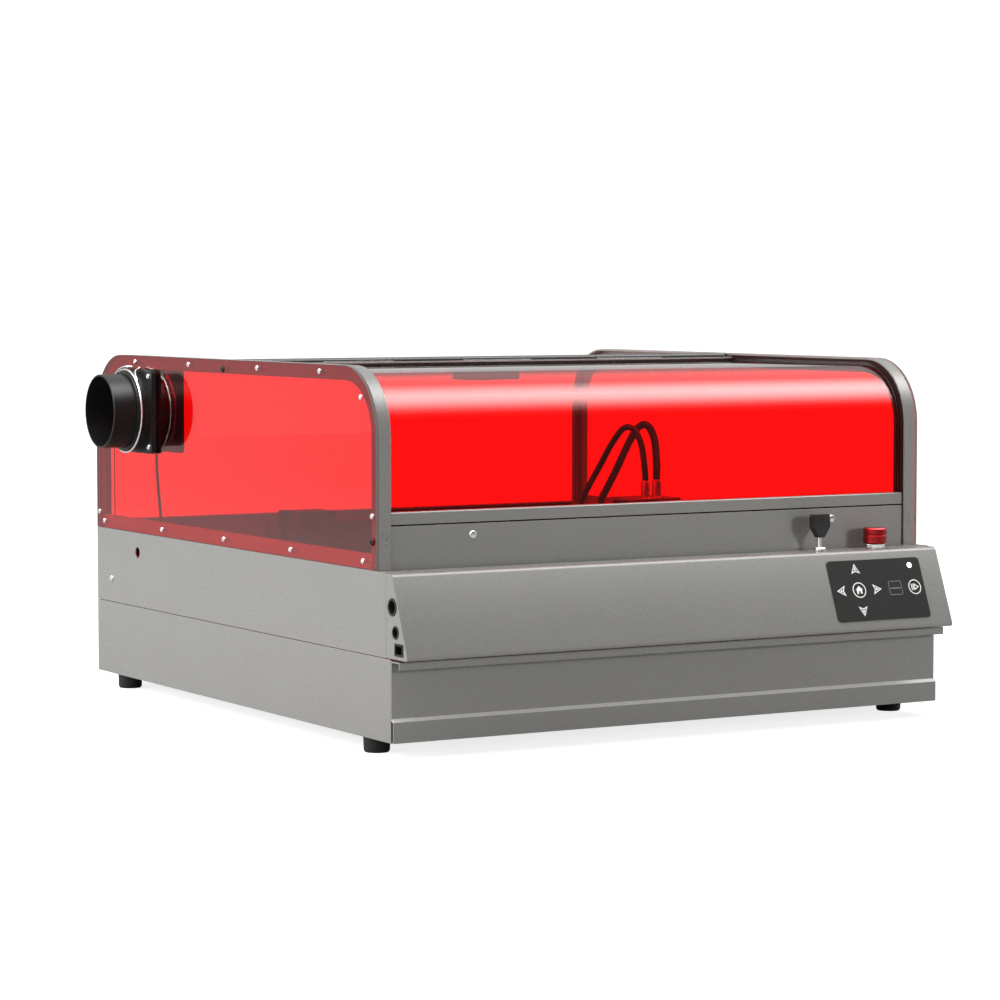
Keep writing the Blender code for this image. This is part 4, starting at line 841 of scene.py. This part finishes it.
def hoop_marks():
    """Two bars with two crossed strokes between them, on each foot."""
    bm = bmesh.new()
    for side in (-1, 1):
        matrix = Matrix.Translation(at(side * MARK_X, HOOP_FRONT_Y, MARK_Z))
        for dz in (-MARK_BAR_OFFSET, MARK_BAR_OFFSET):
            block(bm, matrix, (-MARK_BAR_HALF_LENGTH, -MARK_BAR_RISE, dz - MARK_BAR_HALF_WIDTH),
                  (MARK_BAR_HALF_LENGTH, MARK_ROOT, dz + MARK_BAR_HALF_WIDTH))
        for slant in (-1, 1):
            stroke = matrix @ Matrix.Rotation(math.radians(slant * STROKE_SLANT), 4, "Y")
            block(bm, stroke, (-STROKE_HALF_WIDTH, -STROKE_RISE, -STROKE_HALF_LENGTH),
                  (STROKE_HALF_WIDTH, MARK_ROOT, STROKE_HALF_LENGTH))
    piece("hoop_marks", bm, SIDE_PAINT, "chassis")


hoop_marks()

# ---------------------------------------------------------------- dark strips of painted shade in the gaps round the lid
FOOT_GAP_SHADE_LOW = (-0.3076, 0.0375, 0.22115)
FOOT_GAP_SHADE_HIGH = (0.3076, 0.0465, 0.22235)
FASCIA_GAP_SHADE_X = (0.30765, 0.3098)
FASCIA_GAP_SHADE_Y = (0.0355, 0.0470)
HOOP_GAP_SHADE_X = (0.30755, 0.3098)
HOOP_GAP_SHADE_FOOT_Z = 0.2245
FASCIA_GAP_SHADE_Z = (0.1800, HOOP_GAP_SHADE_FOOT_Z)
HOOP_GAP_SHADE_END_Y = 0.356
HOOP_GAP_SHADE_INSET = 0.0025
HOOP_GAP_SHADE_DEPTH, HOOP_GAP_SHADE_TOP_DEPTH = 0.0070, 0.0022
BEND_STEPS = 14


# A thin dark sheet of painted shade in the gap under the lid's front rail.
def lid_foot_gap_shade():
    bm = bmesh.new()
    block(bm, IDENTITY, at(*FOOT_GAP_SHADE_LOW), at(*FOOT_GAP_SHADE_HIGH))
    piece("lid_foot_gap_shade", bm, GAP_SHADE, "lid")


# Dark strips of painted shade in the gaps between the fascia and the hoops' feet.
def fascia_gap_shade():
    bm = bmesh.new()
    for side in (-1, 1):
        low, high = sorted(side * x for x in FASCIA_GAP_SHADE_X)
        block(bm, IDENTITY, at(low, FASCIA_GAP_SHADE_Y[0], FASCIA_GAP_SHADE_Z[0]),
              at(high, FASCIA_GAP_SHADE_Y[1], FASCIA_GAP_SHADE_Z[1]))
    piece("fascia_gap_shade", bm, GAP_SHADE, "chassis")


def gap_shade_path(foot_shift, top_shift):
    """The hoops' side outline from foot to top, moved inwards by a shift that changes round the bend."""
    path = [(HOOP_FRONT_Y + foot_shift, HOOP_GAP_SHADE_FOOT_Z)]
    for i in range(BEND_STEPS + 1):
        a = math.radians(180 - 90 * i / BEND_STEPS)
        reach = HOOP_RADIUS - foot_shift - (top_shift - foot_shift) * (i / BEND_STEPS) ** 3
        path.append((HOOP_FRONT_Y + HOOP_RADIUS + reach * math.cos(a),
                     HEIGHT - HOOP_RADIUS + reach * math.sin(a)))
    return path + [(HOOP_GAP_SHADE_END_Y, HEIGHT - top_shift)]


def hoop_gap_shade():
    """A dark strip of painted shade beside the lid under each hoop, shallower where it runs over the top."""
    outer = gap_shade_path(HOOP_GAP_SHADE_INSET, HOOP_GAP_SHADE_INSET)
    inner = gap_shade_path(HOOP_GAP_SHADE_INSET + HOOP_GAP_SHADE_DEPTH, HOOP_GAP_SHADE_INSET + HOOP_GAP_SHADE_TOP_DEPTH)
    bm = bmesh.new()
    for side in (-1, 1):
        low, high = sorted(side * x for x in HOOP_GAP_SHADE_X)
        strands = [[bm.verts.new(at(x, y, z)) for y, z in path]
                   for x, path in ((low, outer), (high, outer), (high, inner), (low, inner))]
        for first, second in zip(strands, strands[1:] + strands[:1]):
            bridge(bm, first, second, closed=False)
        bm.faces.new([strand[0] for strand in strands])
        bm.faces.new([strand[-1] for strand in strands])
    piece("hoop_gap_shade", bm, GAP_SHADE, "chassis")


lid_foot_gap_shade()
fascia_gap_shade()
hoop_gap_shade()

# ---------------------------------------------------------------- head cables
ARM_TOP = 0.2119
GLAND_TOP = 0.2394
THIN_RADIUS, THICK_RADIUS = 0.0034, 0.0041
THIN_ROUTE = ((0.0930, 0.3330, ARM_TOP), (0.0930, 0.3330, 0.2165), (0.1005, 0.3295, 0.2330),
              (0.1110, 0.3225, 0.2560), (0.1200, 0.3150, 0.2780), (0.1290, 0.3070, 0.2945),
              (0.1350, 0.3000, 0.2970), (0.1395, 0.2940, 0.2910), (0.1420, 0.2870, 0.2760),
              (0.1415, 0.2810, 0.2560), (0.1415, 0.2790, 0.2435), (0.1415, 0.2790, GLAND_TOP))
THICK_ROUTE = ((0.1225, 0.3390, ARM_TOP), (0.1225, 0.3390, 0.2165), (0.1295, 0.3370, 0.2300),
               (0.1390, 0.3335, 0.2500), (0.1480, 0.3290, 0.2720), (0.1560, 0.3240, 0.2900),
               (0.1620, 0.3180, 0.2985), (0.1670, 0.3110, 0.2960), (0.1690, 0.3030, 0.2820),
               (0.1665, 0.2950, 0.2590), (0.1640, 0.2910, 0.2445), (0.1640, 0.2910, GLAND_TOP))


def head_cable(name, route, radius, material, node):
    bm = bmesh.new()
    tube(bm, smooth_route([at(*p) for p in route]), radius, 16)
    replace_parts(piece(name, bm, material, "carriage"), node)


head_cable("air_hose", THIN_ROUTE, THIN_RADIUS, HOSE, "head_cable_thin")
head_cable("sleeved_cable", THICK_ROUTE, THICK_RADIUS, BRAID, "head_cable_thick")

# ---------------------------------------------------------------- honeycomb bed
BED_LOW, BED_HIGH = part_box("honeycomb_bed")
RIM = 0.012
CELL = 0.0090
FOIL = 0.0004
FOIL_INSET = 0.0008
CORE_LOW_X, CORE_HIGH_X = BED_LOW.x + RIM, BED_HIGH.x - RIM
CORE_LOW_Y, CORE_HIGH_Y = BED_LOW.y + RIM, BED_HIGH.y - RIM


def bed_rim():
    bm = bmesh.new()
    for low_x, high_x, low_y, high_y in ((BED_LOW.x, BED_HIGH.x, BED_LOW.y, CORE_LOW_Y),
                                         (BED_LOW.x, BED_HIGH.x, CORE_HIGH_Y, BED_HIGH.y),
                                         (BED_LOW.x, CORE_LOW_X, CORE_LOW_Y, CORE_HIGH_Y),
                                         (CORE_HIGH_X, BED_HIGH.x, CORE_LOW_Y, CORE_HIGH_Y)):
        block(bm, IDENTITY, (low_x, low_y, BED_LOW.z), (high_x, high_y, BED_HIGH.z))
    return piece("bed_rim", bm, ALUMINIUM, "drawer")


def bed_cells():
    """Rows of zigzag foil, each a mirror of the next."""
    bm = bmesh.new()
    rows = int((CORE_HIGH_Y - CORE_LOW_Y) / (CELL * math.sqrt(3) / 2))
    columns = int((CORE_HIGH_X - CORE_LOW_X) / (CELL / 2))
    row_step = (CORE_HIGH_Y - CORE_LOW_Y) / rows
    zigzag = CELL / (2 * math.sqrt(3)) * 0.5
    for row in range(1, rows):
        top, foot = [], []
        for i in range(columns + 1):
            x = CORE_LOW_X + (CORE_HIGH_X - CORE_LOW_X) * i / columns
            y = CORE_LOW_Y + row * row_step + zigzag * (1 if row % 2 == i % 2 else -1)
            top.append(bm.verts.new((x, y, BED_HIGH.z - FOIL_INSET)))
            foot.append(bm.verts.new((x, y, BED_LOW.z + FOIL_INSET)))
        bridge(bm, top, foot, closed=False)
    cells = piece("bed_cells", bm, ALUMINIUM, "drawer", smooth=False)
    foil = cells.modifiers.new("foil", "SOLIDIFY")
    foil.thickness = FOIL
    foil.offset = 0.0


rim = bed_rim()
bed_cells()
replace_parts(rim, "honeycomb_bed")

# ---------------------------------------------------------------- floor
FLOOR_CENTRE = (1.0, 1.6, -0.0002)
FLOOR_HALF_X, FLOOR_HALF_Y = 5.0, 4.1
# How much the floor glows: to the camera, and on its left part to polished surfaces.
FLOOR_GLOW = 0.80
FLOOR_MIRRORED = 0.23
FLOOR_LEFT_FADE = (0.42, 0.70)


def floor_finish():
    """Plain white, faintly uneven."""
    s = Shader("floor_white")
    s.colour(s.grey_ramp(s.noise(3.0), 0.48, 0.50))
    s.set(Roughness=0.8, Specular_IOR_Level=0.0, Emission_Color=(1.0, 1.0, 1.0, 1.0))
    path = s.node("LightPath")
    left = s.ramp(s.times(s.place()[0], -1.0), greys(*zip(FLOOR_LEFT_FADE, (0.0, FLOOR_MIRRORED))))
    to_camera = s.times(path.outputs["Is Camera Ray"], FLOOR_GLOW)
    to_polished = s.times(path.outputs["Is Glossy Ray"], left)
    s.link(s.math("ADD", to_camera, to_polished), s.surface.inputs["Emission Strength"])
    return s.material


def build_floor():
    mesh = bpy.data.meshes.new("floor")
    bm = bmesh.new()
    spread = Matrix.Translation(FLOOR_CENTRE) @ Matrix.Diagonal((FLOOR_HALF_X, FLOOR_HALF_Y, 1.0, 1.0))
    bmesh.ops.create_grid(bm, x_segments=1, y_segments=1, size=1.0, matrix=spread)
    bm.to_mesh(mesh)
    bm.free()
    thing = bpy.data.objects.new("floor", mesh)
    bpy.context.scene.collection.objects.link(thing)
    mesh.materials.append(floor_finish())
    return thing


floor = build_floor()

# ---------------------------------------------------------------- lights
# name, place, target, width, height and watts
SOFTBOXES = (
    ("top_softbox", (0.0, -0.55, 2.3), (0.0, -0.30, 0.0), 4.2, 1.25, 28.0),
    ("front_softbox", (1.25, -2.9, 0.75), (0.0, -0.30, 0.15), 0.45, 0.45, 34.0),
    ("left_softbox", (-2.6, 0.6, 1.1), (0.0, 0.0, 0.2), 2.0, 1.6, 50.0),
)


def softbox(name, place, target, width, height, watts):
    """A softbox that lights surfaces but isn't mirrored in them: the backdrop holds what they mirror."""
    data = bpy.data.lights.new(name, "AREA")
    data.shape = "RECTANGLE"
    data.size = width
    data.size_y = height
    data.energy = watts
    lamp = bpy.data.objects.new(name, data)
    bpy.context.scene.collection.objects.link(lamp)
    lamp.location = place
    lamp.rotation_euler = (Vector(target) - Vector(place)).to_track_quat("-Z", "Y").to_euler()
    lamp.visible_glossy = False


for box in SOFTBOXES:
    softbox(*box)

# ---------------------------------------------------------------- backdrop
# What it shows: pure white to the camera, a soft grey room to matt surfaces, and to polished ones a bright
# panel overhead and a white wall on the left. A panel stop is (degrees above the front, glow).
WHITE = 1.18
PANEL = ((0, 0.15), (28, 0.15), (37, 0.4), (45, 1.9), (55, 6.2), (65, 10.4), (76, 11.6), (86, 8.2), (96, 4.3),
         (106, 1.7), (126, 1.25), (145, 0.75), (160, 0.40), (171, 0.35), (177, 0.75))
PANEL_PEAK = max(glow for degrees, glow in PANEL)
LEFT_WALL = 0.60
LEFT_WALL_FADE = (0.15, 0.45)
ROOM_BRIGHT_SIDE = (-0.60, 0.72, 0.34)
ROOM = ((0.0, 0.16), (0.55, 1.50))


def build_backdrop():
    world = bpy.data.worlds.new("studio")
    bpy.context.scene.world = world
    world.use_nodes = True
    sky = NodeTree(world.node_tree)
    direction = sky.coords("Generated")
    x, y, z = sky.split(direction)
    rise = sky.math("DIVIDE", sky.math("ARCTAN2", z, sky.times(y, -1.0)), math.pi)
    panel = sky.ramp(rise, greys(*((degrees / 180, glow / PANEL_PEAK) for degrees, glow in PANEL)))
    wall = sky.ramp(sky.times(x, -1.0), greys(*zip(LEFT_WALL_FADE, (0.0, LEFT_WALL / PANEL_PEAK))))
    mirrored = sky.blend(1.0, sky.blend(1.0, panel, wall, "ADD"), (PANEL_PEAK,) * 3, "MULTIPLY")
    toward = sky.node("VectorMath")
    toward.operation = "DOT_PRODUCT"
    toward.inputs[1].default_value = Vector(ROOM_BRIGHT_SIDE).normalized()
    sky.link(direction, toward.inputs[0])
    room = sky.ramp(toward.outputs["Value"], greys(*ROOM))
    path = sky.node("LightPath")
    seen = sky.blend(path.outputs["Is Glossy Ray"], room, mirrored)
    seen = sky.blend(path.outputs["Is Camera Ray"], seen, (WHITE,) * 3)
    sky.link(seen, sky.tree.nodes["Background"].inputs["Color"])


build_backdrop()
bpy.context.scene.view_settings.view_transform = "Standard"
